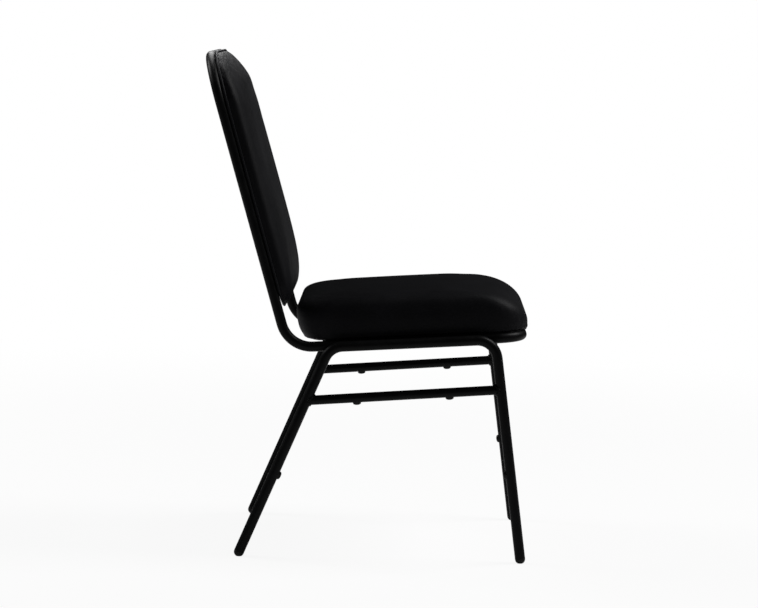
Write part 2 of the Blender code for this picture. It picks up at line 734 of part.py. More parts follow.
def washer_mesh(name, steel):
    """Flat washer along Z, with its underside at the origin."""
    bore = SCREW_HOLE_OD / 2
    rim = WASHER_OD / 2
    profile = [(bore, 0), (rim, 0), (rim, WASHER_THICKNESS), (bore, WASHER_THICKNESS)]
    return to_mesh(name, turned(profile, closed=True), steel)


def fasten(group, names, screws, pad, head_seat, steel, parent):
    """A screw with its head at a height and a T-nut at each screw place."""
    nut_seat = pad.board_top - NUT_FLANGE_THICKNESS - FIT_GAP
    screw = screw_mesh(group + "_screw", nut_seat - head_seat, steel)
    nut = nut_mesh(group + "_nut", nut_seat - BOARD_FLOOR, steel)
    for name, (x, y) in zip(names, screws):
        add_piece(f"{group}_{name}_screw", screw, parent).location = (x, y, head_seat)
        add_piece(f"{group}_{name}_nut", nut, parent).location = (x, y, nut_seat)


def add_washers(group, names, screws, seat, steel, parent):
    """A washer at each screw place, with its underside at a height."""
    washer = washer_mesh(group + "_washer", steel)
    for name, (x, y) in zip(names, screws):
        add_piece(f"{group}_{name}_washer", washer, parent).location = (x, y, seat)


# Bumpers and glides

def bumper_mesh(name, tube_radius, plastic):
    """Domed bumper with a saddle for a tube along X and a stem through the tube's wall."""
    bm = bmesh.new()
    size = Matrix.Diagonal((BUMPER_LENGTH / 2, BUMPER_WIDTH / 2, BUMPER_PROUD + BUMPER_SINK, 1.0))
    centre = Matrix.Translation((0, 0, tube_radius - BUMPER_SINK))
    bmesh.ops.create_uvsphere(bm, u_segments=TURNED_SIDES, v_segments=2 * DOME_STEPS, radius=1.0,
                              matrix=centre @ size)
    obj = add_piece(name, to_mesh(name, bm, plastic), None)
    reach = Vector((BUMPER_LENGTH, 0, 0))
    combine(obj, round_bar(-reach, reach, tube_radius + FIT_GAP))
    stem_end = tube_radius - BUMPER_STEM_DEPTH
    stem_root = tube_radius + BUMPER_PROUD / 2
    stem = upright_bar(0, 0, stem_end, stem_root, BUMPER_STEM_OD / 2, TURNED_SIDES)
    combine(obj, stem, "UNION")
    mesh = obj.data
    bpy.data.objects.remove(obj)
    return mesh


def add_bumper(name, mesh, x, seat, parent):
    """A bumper on a tube of the side view, pointing out of it."""
    origin, out = seat
    z_axis = chair_point(0, *out)
    set_frame(add_piece(name, mesh, parent), chair_point(x, *origin), Vector((1, 0, 0)).cross(z_axis), z_axis)


def foot_glide(name, x, leg, plastic, parent):
    """Domed glide with a stem in the leg's bore, flat where it stands."""
    dome = [(FRAME_RADIUS * math.sin(math.pi / 2 * step / DOME_STEPS),
             -FRAME_RADIUS * math.cos(math.pi / 2 * step / DOME_STEPS)) for step in range(DOME_STEPS + 1)]
    stem = FRAME_BORE_RADIUS - FIT_GAP
    stem_end = GLIDE_COLLAR + GLIDE_STEM
    profile = dome + [(FRAME_RADIUS, GLIDE_COLLAR), (stem, GLIDE_COLLAR), (stem, stem_end - GLIDE_CHAMFER),
                      (stem - GLIDE_CHAMFER, stem_end), (0, stem_end)]
    bm = turned(profile)
    z_axis = chair_point(0, *leg[1])
    x_axis = Vector((1, 0, 0))
    turn = Matrix((x_axis, z_axis.cross(x_axis), z_axis))
    up = turn @ Vector((0, 0, 1))
    bmesh.ops.bisect_plane(bm, geom=bm.verts[:] + bm.edges[:] + bm.faces[:],
                           plane_co=-up * GLIDE_CENTRE_HEIGHT, plane_no=up, clear_inner=True)
    bmesh.ops.holes_fill(bm, edges=[edge for edge in bm.edges if edge.is_boundary])
    glide = add_piece(name, to_mesh(name, bm, plastic), parent)
    set_frame(glide, chair_point(x, *leg_at_height(leg, GLIDE_CENTRE_HEIGHT)), x_axis, z_axis)


# Assembly

def centre_on_origin(root):
    """Moves the chair so that the middle of its box stands on the origin."""
    bpy.context.view_layer.update()
    depsgraph = bpy.context.evaluated_depsgraph_get()
    depths = []
    for obj in bpy.data.objects:
        if obj.type == "MESH":
            evaluated = obj.evaluated_get(depsgraph)
            depths += [(evaluated.matrix_world @ vert.co).y for vert in evaluated.data.vertices]
    root.location.y = -(min(depths) + max(depths)) / 2


def build_steel(root, seat_face, back_face, steel):
    """Leg frames, braces, hoop, seat tube, straps and tabs."""
    for side, sign in SIDES:
        leg_frame(f"{side}_leg_frame", sign * LEG_X, steel, root)
        side_brace(f"{side}_side_brace", sign * LEG_X, steel, root)
        splice_ferrule(f"{side}_splice_ferrule", sign * BACK_X, steel, seat_face)
        back_tab(f"{side}_upper_back_tab", sign, UPPER_TAB, steel, back_face)
        back_tab(f"{side}_lower_back_tab", sign, LOWER_TAB, steel, back_face)
    back_frame(steel, root)
    seat_front_tube(steel, seat_face)
    seat_strap("front_seat_strap", -FRONT_STRAP_AHEAD, steel, seat_face)
    seat_strap("rear_seat_strap", REAR_STRAP_BEHIND, steel, seat_face)


def build_plastic(root, plastic):
    """Glides in the feet and bumpers on the legs and braces."""
    leg_bumper = bumper_mesh("leg_bumper", FRAME_RADIUS, plastic)
    brace_bumper = bumper_mesh("brace_bumper", BRACE_RADIUS, plastic)
    for side, sign in SIDES:
        x = sign * LEG_X
        for end, leg, on_leg, on_brace in (("rear", REAR_LEG, REAR_LEG_BUMPER, REAR_BRACE_BUMPER),
                                           ("front", FRONT_LEG, FRONT_LEG_BUMPER, FRONT_BRACE_BUMPER)):
            foot_glide(f"{side}_{end}_foot_glide", x, leg, plastic, root)
            add_bumper(f"{side}_{end}_leg_bumper", leg_bumper, x, on_leg, root)
            add_bumper(f"{side}_{end}_brace_bumper", brace_bumper, x, on_brace, root)


def build_upholstery(seat_face, back_face, steel):
    """Seat pad and back pad with their boards, panels and fasteners."""
    vinyl = make_material("black_vinyl", colour=(0.012, 0.012, 0.014), roughness=0.42, metallic=0.0)
    filling = make_material("foam", colour=(0.75, 0.68, 0.5), roughness=0.95, metallic=0.0)
    wood = make_material("plywood", colour=(0.5, 0.34, 0.18), roughness=0.7, metallic=0.0)
    cloth = make_material("dust_cloth", colour=(0.02, 0.02, 0.02), roughness=0.95, metallic=0.0)
    names = ("left_front", "right_front", "left_rear", "right_rear")
    strap_lines = (-FRONT_STRAP_AHEAD, REAR_STRAP_BEHIND)
    seat_screws = [(sign * SEAT_SCREW_X, y) for y in strap_lines for _, sign in SIDES]
    washer_seat = BAR_TOP - STRAP_THICKNESS - FIT_GAP - WASHER_THICKNESS
    cover("seat_cover", SEAT_PAD, vinyl, seat_face)
    foam("seat_foam", SEAT_PAD, filling, seat_face)
    pad_board("seat_board", SEAT_PAD, seat_screws, wood, seat_face)
    closing_panel("seat_dust_cover", SEAT_PAD, DUST_COVER_THICKNESS, seat_screws, cloth, seat_face)
    fasten("seat", names, seat_screws, SEAT_PAD, washer_seat - FIT_GAP, steel, seat_face)
    add_washers("seat", names, seat_screws, washer_seat, steel, seat_face)
    names = ("left_lower", "right_lower", "left_upper", "right_upper")
    back_screws = [(sign * TAB_SCREW_X, y) for y in (LOWER_TAB, UPPER_TAB) for _, sign in SIDES]
    cover("back_cover", BACK_PAD, vinyl, back_face)
    foam("back_foam", BACK_PAD, filling, back_face)
    pad_board("back_board", BACK_PAD, back_screws, wood, back_face)
    closing_panel("back_rear_panel", BACK_PAD, REAR_PANEL_THICKNESS, back_screws, vinyl, back_face)
    piping("back_piping", BACK_PAD, vinyl, back_face)
    fasten("back", names, back_screws, BACK_PAD, BAR_TOP - TAB_THICKNESS - FIT_GAP, steel, back_face)


def main():
    """Builds the chair, standing on the origin."""
    clear_scene()
    root = add_empty("chair", None, Matrix.Identity(4))
    seat_face = add_empty("seat_face", root, SEAT_FACE)
    back_face = add_empty("back_face", root, BACK_FACE)
    black_steel = make_material("black_powder_coat", colour=(0.01, 0.01, 0.011), roughness=0.35, metallic=0.0)
    zinc_steel = make_material("zinc_plated_steel", colour=(0.55, 0.55, 0.56), roughness=0.35, metallic=1.0)
    plastic = make_material("black_plastic", colour=(0.012, 0.012, 0.012), roughness=0.55, metallic=0.0)
    build_steel(root, seat_face, back_face, black_steel)
    build_plastic(root, plastic)
    build_upholstery(seat_face, back_face, zinc_steel)
    centre_on_origin(root)


main()
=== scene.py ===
"""Looks of a stacking banquet chair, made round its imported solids.

Metres, +Z up. The chair faces -Y and X runs across it. Distances ahead are counted from the middle
between the front and rear feet, so a point that lies ahead has a lower Y.
"""
import math
from collections import namedtuple

import bmesh
import bpy
import numpy as np
from mathutils import Matrix, Vector, noise
from mathutils.bvhtree import BVHTree


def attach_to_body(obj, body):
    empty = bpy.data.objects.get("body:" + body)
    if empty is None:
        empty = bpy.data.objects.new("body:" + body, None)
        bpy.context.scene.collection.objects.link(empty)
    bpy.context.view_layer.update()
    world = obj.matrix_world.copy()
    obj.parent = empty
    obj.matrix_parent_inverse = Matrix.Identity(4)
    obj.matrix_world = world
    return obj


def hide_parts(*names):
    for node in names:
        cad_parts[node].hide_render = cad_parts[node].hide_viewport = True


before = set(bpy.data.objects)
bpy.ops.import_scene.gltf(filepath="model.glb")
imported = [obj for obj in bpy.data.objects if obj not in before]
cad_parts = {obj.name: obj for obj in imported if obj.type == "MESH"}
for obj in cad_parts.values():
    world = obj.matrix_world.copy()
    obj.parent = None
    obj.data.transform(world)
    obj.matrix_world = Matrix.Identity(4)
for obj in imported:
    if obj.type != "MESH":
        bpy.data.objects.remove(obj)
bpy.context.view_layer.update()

# Camera of the photograph's view
IMAGE_WIDTH_PX = 758
FOCAL_PX = 2660.41
SENSOR_MM = 36.0
CAMERA_X = -5.0629
CAMERA_AHEAD = 0.0425
CAMERA_HEIGHT = 1.0193
CAMERA_YAW = math.radians(-0.6495)
CAMERA_PITCH = math.radians(6.379)
CAMERA_ROLL = math.radians(1.378)

# Tubes and their lines, as in the solids
MIDDLE_OF_FEET_Y = -0.037860
FIT_GAP = 0.0003
FRAME_RADIUS = 0.0095
BRACE_RADIUS = 0.00875
LEG_X = 0.210
REAR_FOOT_BEHIND = 0.2647
FRONT_FOOT_AHEAD = 0.2614
REAR_LEG_LEAN = math.radians(22.57)
FRONT_LEG_LEAN = math.radians(8.0)
SEAT_RAIL_HEIGHT = 0.4018
SEAT_PITCH = math.radians(4.08)
LEG_BEND_RADIUS = 0.037
BRACE_HEIGHT = 0.3059
BRACE_PITCH = math.radians(4.67)
BACK_LEAN = math.radians(16.51)
BACK_LINE_BEHIND = 0.0630
BACK_TOP_RAIL = 0.9605
LOWER_BEND_RADIUS = 0.057
TOP_CORNER_RADIUS = 0.088
SEAT_TUBE_AHEAD = 0.2540
SEAT_CORNER_RADIUS = 0.045
SPLICE_AHEAD = 0.020
BACK_X = LEG_X - 2 * FRAME_RADIUS - FIT_GAP

# Bars and tabs between the tubes
BAR_TOP = FRAME_RADIUS - 0.001
BAR_REACH = BACK_X - math.sqrt(FRAME_RADIUS ** 2 - BAR_TOP ** 2) - FIT_GAP
BAR_EDGE_ROUND = 0.0008
BAR_EDGE_SEGMENTS = 3
STRAP_WIDTH = 0.030
STRAP_THICKNESS = 0.004
STRAP_LINES = (("front", -0.180), ("rear", 0.095))
TAB_HEIGHT = 0.028
TAB_REACH = 0.036
TAB_THICKNESS = 0.003
TAB_LINES = (("lower", 0.570), ("upper", 0.860))

# Fasteners
SEAT_SCREW_X = 0.120
TAB_SCREW_X = BACK_X - 0.025
SCREW_RADIUS = 0.003
SCREW_HEAD_RADIUS = 0.0058
SCREW_HEAD_HEIGHT = 0.0034
SCREW_HEAD_EASE = 0.00187
SCREW_HEAD_STEPS = 5
SCREW_SOCKET_APOTHEM = 0.002
SCREW_SOCKET_DEPTH = 0.0017
SEAT_SCREW_LENGTH = 0.0200
BACK_SCREW_LENGTH = 0.0130
WASHER_RADIUS = 0.008
WASHER_BORE = 0.0033
WASHER_THICKNESS = 0.0012
WASHER_EASE = 0.0003

# Bumpers, whose dome starts part of the way up, and glides, whose groove runs between shares of the collar
BUMPER_LENGTH = 0.017
BUMPER_WIDTH = 0.013
BUMPER_PROUD = 0.0045
BUMPER_SINK = 0.004
BUMPER_SKIRT_SINK = 0.001
BUMPER_RIM_PROUD = 0.00018
BUMPER_DOME_WIDTH = 0.90
BUMPER_DOME_START = 0.5
BUMPER_DOME_PLAN_POWER = 0.8
BUMPER_DOME_RISE_POWER = 0.9
REAR_BRACE_BUMPER_BEHIND = 0.0495
FRONT_BRACE_BUMPER_AHEAD = 0.121
REAR_LEG_BUMPER_HEIGHT = 0.157
FRONT_LEG_BUMPER_HEIGHT = 0.166
GLIDE_CENTRE_HEIGHT = 0.008
GLIDE_COLLAR = 0.002
GLIDE_GROOVE = 0.0004
GLIDE_GROOVE_STARTS = (0.35, 0.45)
GLIDE_GROOVE_ENDS = (0.6, 0.7)

# Upholstery
PAD_FLOOR = FRAME_RADIUS + FIT_GAP
LIP_FLOOR = FRAME_RADIUS - FIT_GAP / 2
COVER_THICKNESS = 0.0012
COVER_LIP = 0.018
LIP_EASE = 0.00048
LIP_RINGS = (0.35, 0.7, 1.0)
CROWN_FALL = 6
PIPING_RADIUS = 0.0025
PIPING_SINK = 0.00125
UNDERSIDE_RISE = 0.0010
PANEL_TOP = PAD_FLOOR + COVER_THICKNESS
DUST_COVER_THICKNESS = 0.0006
DUST_COVER_SAG = 0.0007
REAR_PANEL_THICKNESS = 0.001
SHEET_SLACK = 0.6
SHEET_WAVE = 0.4
SHEET_WAVES_PER_METRE = 16
SHEET_EDGE_POWER = 4
STAPLE_SPACING = 0.038
STAPLE_CROWN = 0.0100
STAPLE_WIRE_RADIUS = 0.0005
STAPLE_PROUD = 0.0003
STAPLE_EDGE = 0.005
PLEAT_COUNT = 9
PLEAT_DEPTH = 0.0008
PLEAT_START = 0.4

# Welds
WELD_RADIUS = 0.0024
WELD_SINK = 1 / 3
WELD_RIPPLE = 0.10
WELD_RIPPLE_PITCH = 0.0022
WELD_WANDER = 0.15
WELD_WANDERS_PER_METRE = 90.0
WELD_END_TAPER = (0.35, 0.65, 0.85)
RAIL_WELD_LENGTH = 0.030
RAIL_WELDS_AHEAD = (-0.045, 0.060, 0.165)
BAR_WELD_RADIUS = 0.0018

# Cloth simulation of the two cushions
CUSHION_VOXEL = 0.005
CUSHION_START_INSET = 0.0015
CUSHION_CAP_OUT = 0.0015
CUSHION_CAP_IN = 0.0010
CUSHION_CAP_ALONG = 0.002
CUSHION_PRESSURE = 0.5
CUSHION_FRAMES = 20
CUSHION_SMOOTH_PASSES = 6
CUSHION_SOFTEN_PASSES = 10
SMOOTH_SHARE = 0.5
PINNED_BELOW = PAD_FLOOR + 0.005
NO_LENGTH = 1e-9

# Fineness
TUBE_SIDES = 32
BEND_STEPS = 16
BEAD_SIDES = 10
BEAD_STEPS_PER_RIPPLE = 4
BEAD_LEAST_STEPS = 8
BRACE_WELD_STEPS = 96
PIPING_SIDES = 16
TURNED_SIDES = 36
DOME_STEPS = 10
PAD_CORNER_STEPS = 14
PAD_SIDE_STEPS = 24
PAD_LOW_STEPS = 8
PAD_ROLL_STEPS = 16
PAD_CROWN_STEPS = 16
SHEET_RINGS = 12
SMOOTH_ANGLE = math.radians(35)

# Studio
WHITE = (1.0, 1.0, 1.0, 1.0)
FLOOR_SIZE = 40.0
FLOOR_SEGMENTS = 4
FLOOR_COLOUR = (0.80, 0.80, 0.80, 1.0)
FLOOR_ROUGHNESS = 0.9
FLOOR_SPECULAR = 0.1
FLOOR_GLOW_SHARE = 0.90
FLOOR_GLOSS_SHARE = 0.1
FLOOR_FADE_START = 0.8
FLOOR_FADE_END = 3.0
WORLD_LEVEL = 0.10
WORLD_GLOSS_LEVEL = 0.03

SIDES = (("left", 1), ("right", -1))

# A material with the slot that it fills
Coat = namedtuple("Coat", "material slot")

# How a pad's edge is shaped: how far its foot is drawn in, how far its upper roll reaches in, the
# heights where it is widest and where the roll ends, and how full the roll is (2 is an ellipse)
Edge = namedtuple("Edge", "tuck roll widest top fullness")


class Pad(namedtuple("Pad", "half_width low_end high_end low_corner high_corner side low high crown")):
    """Plan, edges and crown of a pad."""

    @property
    def middle(self):
        """Halfway between the ends."""
        return (self.low_end + self.high_end) / 2

    @property
    def reach(self):
        """From the middle to an end."""
        return (self.high_end - self.low_end) / 2


SEAT_PAD = Pad(
    half_width=0.1965, low_end=-0.2689, high_end=0.1644, low_corner=0.060, high_corner=0.060,
    side=Edge(tuck=0.004, roll=0.024, widest=0.045, top=0.0875, fullness=2.2),
    low=Edge(tuck=0.0044, roll=0.0854, widest=0.0227, top=0.0848, fullness=1.855),
    high=Edge(tuck=0.0261, roll=0.0725, widest=0.066, top=0.0905, fullness=2.39),
    crown=0.0946)
BACK_PAD = Pad(
    half_width=0.1965, low_end=0.480, high_end=0.966, low_corner=0.040, high_corner=0.094,
    side=Edge(tuck=0.004, roll=0.050, widest=0.024, top=0.0435, fullness=1.9),
    low=Edge(tuck=0.004, roll=0.0623, widest=0.016, top=0.0404, fullness=1.67),
    high=Edge(tuck=0.004, roll=0.065, widest=0.014, top=0.0483, fullness=1.24),
    crown=0.0472)


# Places in the chair

def chair_direction(x, ahead, height):
    """A direction of the chair in world axes."""
    return Vector((x, -ahead, height))


def chair_point(x, ahead, height):
    """A point of the chair in world axes."""
    return Vector((x, MIDDLE_OF_FEET_Y - ahead, height))


def side_line(ahead, height, lean_ahead, lean_up):
    """A line of the side view, as a point and a direction in (ahead, height)."""
    return Vector((ahead, height)), Vector((lean_ahead, lean_up))


REAR_LEG = side_line(-REAR_FOOT_BEHIND, 0, math.sin(REAR_LEG_LEAN), math.cos(REAR_LEG_LEAN))
FRONT_LEG = side_line(FRONT_FOOT_AHEAD, 0, -math.sin(FRONT_LEG_LEAN), math.cos(FRONT_LEG_LEAN))
SEAT_RAIL = side_line(0, SEAT_RAIL_HEIGHT, math.cos(SEAT_PITCH), math.sin(SEAT_PITCH))
BRACE = side_line(0, BRACE_HEIGHT, math.cos(BRACE_PITCH), math.sin(BRACE_PITCH))
BACK = side_line(-BACK_LINE_BEHIND, 0, -math.sin(BACK_LEAN), math.cos(BACK_LEAN))

# Frames of the seat (Y rearward, Z off the rails) and of the back (Y up the back, Z off its front)
SEAT_FACE = (Matrix.Translation(chair_point(0, 0, SEAT_RAIL_HEIGHT))
             @ Matrix.Rotation(-SEAT_PITCH, 4, "X"))
BACK_FACE = (Matrix.Translation(chair_point(0, -BACK_LINE_BEHIND, 0))
             @ Matrix.Rotation(math.pi / 2 - BACK_LEAN, 4, "X"))


def meet(line, other):
    """Where two lines of the side view cross."""
    (p, d), (q, e) = line, other
    return p + d * ((q - p).cross(e) / d.cross(e))


def leg_at_height(leg, height):
    """Point of a leg's centreline at a height, in (ahead, height)."""
    foot, direction = leg
    return foot + direction * (height / direction.y)


def quarter_turn(step, steps):
    """Angle after some of the steps of a quarter turn."""
    return math.pi / 2 * step / steps


def full_turn(step, steps):
    """Angle after some of the steps of a full turn."""
    return 2 * math.pi * step / steps


def rounded_path(corners, radii):
    """A path through corners, with each inner corner bent to its radius."""
    path = [corners[0]]
    for before, corner, after, radius in zip(corners, corners[1:], corners[2:], radii):
        back = (before - corner).normalized()
        ahead = (after - corner).normalized()
        half = back.angle(ahead) / 2
        centre = corner + (back + ahead).normalized() * (radius / math.sin(half))
        start = corner + back * (radius / math.tan(half))
        turn = math.pi - 2 * half
        axis = ahead.cross(back)
        steps = max(2, math.ceil(BEND_STEPS * turn / (math.pi / 2)))
        for step in range(steps + 1):
            swing = Matrix.Rotation(turn * step / steps, 3, axis)
            path.append(centre + swing @ (start - centre))
    path.append(corners[-1])
    return path


# Materials

class Nodes:
    """A node tree that is built up a node at a time."""

    def __init__(self, tree):
        self.tree = tree

    def feed(self, socket, value):
        """A link or a plain value into a socket."""
        if isinstance(value, bpy.types.NodeSocket):
            self.tree.links.new(value, socket)
        else:
            socket.default_value = value

    def node(self, kind, inputs=(), **settings):
        """A node with its own settings, fed by (input, value) pairs."""
        made = self.tree.nodes.new(kind)
        for name, value in settings.items():
            setattr(made, name, value)
        for name, value in inputs:
            self.feed(made.inputs[name], value)
        return made

    def sum(self, value, other, share):
        """A value with a share of another added."""
        inputs = enumerate((other, share, value))
        return self.node("ShaderNodeMath", inputs, operation="MULTIPLY_ADD").outputs["Value"]

    def span(self, value, between, to, **settings):
        """A value mapped from one range to another, and kept inside it."""
        names = ("Value", "From Min", "From Max", "To Min", "To Max")
        inputs = zip(names, (value, *between, *to))
        return self.node("ShaderNodeMapRange", inputs, **settings).outputs["Result"]

    def mixed(self, share, shader, other):
        """A shader between two."""
        inputs = (("Fac", share), (1, shader), (2, other))
        return self.node("ShaderNodeMixShader", inputs).outputs["Shader"]


class Finish(Nodes):
    """A Principled material."""

    def __init__(self, name):
        self.material = bpy.data.materials.new(name)
        self.material.use_nodes = True
        super().__init__(self.material.node_tree)
        self.shader = self.tree.nodes["Principled BSDF"]
        self.place = self.node("ShaderNodeTexCoord").outputs["Object"]

    def stretched(self, stretch):
        """The place on the surface with each axis scaled."""
        inputs = (("Vector", self.place), ("Scale", stretch))
        return self.node("ShaderNodeMapping", inputs).outputs["Vector"]

    def cloud(self, per_metre, detail=3.0, rough=0.5, place=None):
        """Noise with so many blotches a metre, from 0 to 1."""
        names = ("Vector", "Scale", "Detail", "Roughness")
        inputs = zip(names, (place or self.place, per_metre, detail, rough))
        return self.node("ShaderNodeTexNoise", inputs).outputs["Fac"]

    def cells(self, per_metre, feature="F1"):
        """Distance to the nearest of many scattered cells, or to the nearest edge between them."""
        inputs = (("Vector", self.place), ("Scale", per_metre))
        return self.node("ShaderNodeTexVoronoi", inputs, feature=feature).outputs["Distance"]

    def tinted(self, value, between, dark, light):
        """A colour that goes from dark to light over a range of a value."""
        share = self.span(value, between, to=(0.0, 1.0))
        inputs = (("Factor", share), ("A", (*dark, 1.0)), ("B", (*light, 1.0)))
        return self.node("ShaderNodeMix", inputs, data_type="RGBA").outputs["Result"]

    def finish(self, colour, roughness, height, depth, strength, specular=0.5, metallic=0.0):
        """Sets the shader's colour, roughness, bump and plain values."""
        inputs = (("Strength", strength), ("Distance", depth), ("Height", height))
        bump = self.node("ShaderNodeBump", inputs).outputs["Normal"]
        for name, value in (("Normal", bump), ("Base Color", colour), ("Roughness", roughness),
                            ("Specular IOR Level", specular), ("Metallic", metallic)):
            self.feed(self.shader.inputs[name], value)
        return self.material


def powder_coat():
    """Satin black powder coat with a fine orange peel and faint handling marks."""
    look = Finish("satin_black_powder_coat")
    peel = look.cloud(per_metre=900, detail=2.0)
    marks = look.cloud(per_metre=38, detail=6.0, rough=0.65)
    scuffs = look.cloud(per_metre=160, detail=5.0, rough=0.7, place=look.stretched((1.0, 1.0, 0.2)))
    colour = look.tinted(marks, between=(0.35, 0.75), dark=(0.0030, 0.0030, 0.0032),
                         light=(0.0052, 0.0052, 0.0055))
    roughness = look.span(look.sum(marks, scuffs, share=0.5), between=(0.5, 1.0), to=(0.32, 0.46))
    return look.finish(colour, roughness, peel, depth=0.00012, strength=0.35, specular=0.07)


def vinyl(name, tint, rough):
    """Black upholstery vinyl with a pressed leather grain, its colour darkened along the grain's creases as
    painted shade.
    """
    look = Finish(name)
    warp = look.cloud(per_metre=220, detail=2.0)
    pores = look.cells(per_metre=820)
    creases = look.cells(per_metre=430, feature="DISTANCE_TO_EDGE")
    pressed = look.span(creases, between=(0.0, 0.22), to=(0.0, 1.0))
    grain = look.sum(look.sum(pressed, pores, share=-0.45), warp, share=0.35)
    age = look.cloud(per_metre=11, detail=5.0, rough=0.6)
    dark, light = ([strength * value for value in tint] for strength in (0.78, 1.25))
    # Random tone, darkened along the grain's creases: painted shade in the recesses.
    colour = look.tinted(look.sum(age, creases, share=0.25), between=(0.35, 0.75), dark=dark, light=light)
    roughness = look.span(look.sum(age, grain, share=0.12), between=(0.35, 0.85), to=rough)
    return look.finish(colour, roughness, grain, depth=0.00022, strength=0.55, specular=0.08)


def moulded_plastic():
    """Black moulded plastic with a fine spark texture, rubbed duller in places."""
    look = Finish("black_moulded_plastic")
    spark = look.cloud(per_metre=2400, detail=2.0, rough=0.6)
    rub = look.cloud(per_metre=140, detail=5.0, rough=0.6)
    colour = look.tinted(rub, between=(0.40, 0.72), dark=(0.0050, 0.0050, 0.0050),
                         light=(0.0105, 0.0105, 0.0102))
    roughness = look.span(rub, between=(0.3, 0.7), to=(0.46, 0.66))
    return look.finish(colour, roughness, spark, depth=0.00008, strength=0.4, specular=0.15)


def zinc_plate():
    """Bright zinc plating with a slightly cloudy passivation."""
    look = Finish("clear_zinc_plate")
    cloud = look.cloud(per_metre=420, detail=4.0, rough=0.6)
    lines = look.cloud(per_metre=1500, detail=2.0, place=look.stretched((1.0, 1.0, 0.15)))
    colour = look.tinted(cloud, between=(0.3, 0.7), dark=(0.46, 0.47, 0.49), light=(0.62, 0.62, 0.60))
    roughness = look.span(cloud, between=(0.3, 0.7), to=(0.24, 0.42))
    return look.finish(colour, roughness, lines, depth=0.00005, strength=0.3, metallic=1.0)


def birch_plywood():
    """Plain plywood with long grain and darker plies."""
    look = Finish("birch_plywood")
    rings = look.cloud(per_metre=95, detail=5.0, rough=0.6, place=look.stretched((1.0, 0.08, 1.0)))
    fibre = look.cloud(per_metre=900, place=look.stretched((1.0, 0.05, 1.0)))
    colour = look.tinted(look.sum(rings, fibre, share=0.3), between=(0.4, 0.9), dark=(0.40, 0.26, 0.13),
                         light=(0.58, 0.42, 0.24))
    roughness = look.span(fibre, between=(0.3, 0.7), to=(0.62, 0.8))
    return look.finish(colour, roughness, fibre, depth=0.0002, strength=0.3)


def dust_cloth():
    """Black non-woven cloth with its pressed points and loose fibres."""
    look = Finish("black_non_woven_cloth")
    points = look.cells(per_metre=520)
    fibres = look.cloud(per_metre=1300, detail=4.0, rough=0.7, place=look.stretched((1.0, 0.35, 1.0)))
    height = look.sum(look.span(points, between=(0.05, 0.45), to=(0.0, 1.0)), fibres, share=0.6)
    colour = look.tinted(fibres, between=(0.35, 0.7), dark=(0.010, 0.010, 0.010),
                         light=(0.026, 0.026, 0.027))
    roughness = look.span(fibres, between=(0.3, 0.7), to=(0.82, 0.96))
    return look.finish(colour, roughness, height, depth=0.00025, strength=0.6, specular=0.2)


# Meshes

def add_object(name, bm, material, face=None):
    """An object with smooth shading from a bmesh, moved from a face's frame into the world."""
    bmesh.ops.recalc_face_normals(bm, faces=bm.faces)
    if face:
        bm.transform(face)
    mesh = bpy.data.meshes.new(name)
    bm.to_mesh(mesh)
    bm.free()
    mesh.materials.append(material)
    mesh.shade_smooth()
    mesh.set_sharp_from_angle(angle=SMOOTH_ANGLE)
    obj = bpy.data.objects.new(name, mesh)
    bpy.context.collection.objects.link(obj)
    return obj


def attach(obj, slot, *nodes):
    """Fixes a piece to the chair and hides the solids that it stands for. The slot is not used."""
    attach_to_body(obj, "root")
    if nodes:
        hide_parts(*nodes)


def add_piece(name, bm, coat, *nodes, face=None):
    """An object that is a piece of the chair."""
    attach(add_object(name, bm, coat.material, face), coat.slot, *nodes)


def bridge(bm, first, second):
    """Faces between two rings with the same number of vertices."""
    for index in range(len(first)):
        after = (index + 1) % len(first)
        bm.faces.new((first[index], first[after], second[after], second[index]))


def stack(bm, rings, closed=False):
    """Faces between rings in order, with both ends filled or joined to each other."""
    for first, second in zip(rings, rings[1:]):
        bridge(bm, first, second)
    if closed:
        bridge(bm, rings[-1], rings[0])
    else:
        bm.faces.new(rings[0])
        bm.faces.new(rings[-1])


def fan(bm, ring, place):
    """Faces from a ring to a point in its middle."""
    middle = bm.verts.new(place)
    for index, vert in enumerate(ring):
        bm.faces.new((ring[index - 1], vert, middle))


def ring_of(bm, centre, side, up, radius, sides):
    """Vertices of one round section."""
    ring = []
    for index in range(sides):
        angle = full_turn(index, sides)
        ring.append(bm.verts.new(centre + radius * (math.cos(angle) * side + math.sin(angle) * up)))
    return ring


def path_directions(path):
    """Direction of travel at each point of an open path."""
    directions = [(path[1] - path[0]).normalized()]
    for before, point, after in zip(path, path[1:], path[2:]):
        directions.append(((point - before).normalized() + (after - point).normalized()).normalized())
    directions.append((path[-1] - path[-2]).normalized())
    return directions


def sweep_open(bm, path, radii, sides):
    """A round body with closed ends along an open path, with a radius at each point."""
    directions = path_directions(path)
    side = directions[0].orthogonal().normalized()
    previous = directions[0]
    rings = []
    for point, direction, radius in zip(path, directions, radii):
        side = previous.rotation_difference(direction) @ side
        previous = direction
        rings.append(ring_of(bm, point, side, direction.cross(side), radius, sides))
    stack(bm, rings)


def sweep_closed(bm, path, radii, axis, sides):
    """A round cord along a closed path that turns round an axis."""
    rings = []
    for index, point in enumerate(path):
        ahead = (path[(index + 1) % len(path)] - path[index - 1]).normalized()
        side = ahead.cross(axis).normalized()
        rings.append(ring_of(bm, point, side, ahead.cross(side), radii[index], sides))
    stack(bm, rings, closed=True)


def tube(name, path, radius, steel, node):
    """A bent tube with square ends."""
    bm = bmesh.new()
    sweep_open(bm, path, [radius] * len(path), TUBE_SIDES)
    add_piece(name, bm, steel, node)


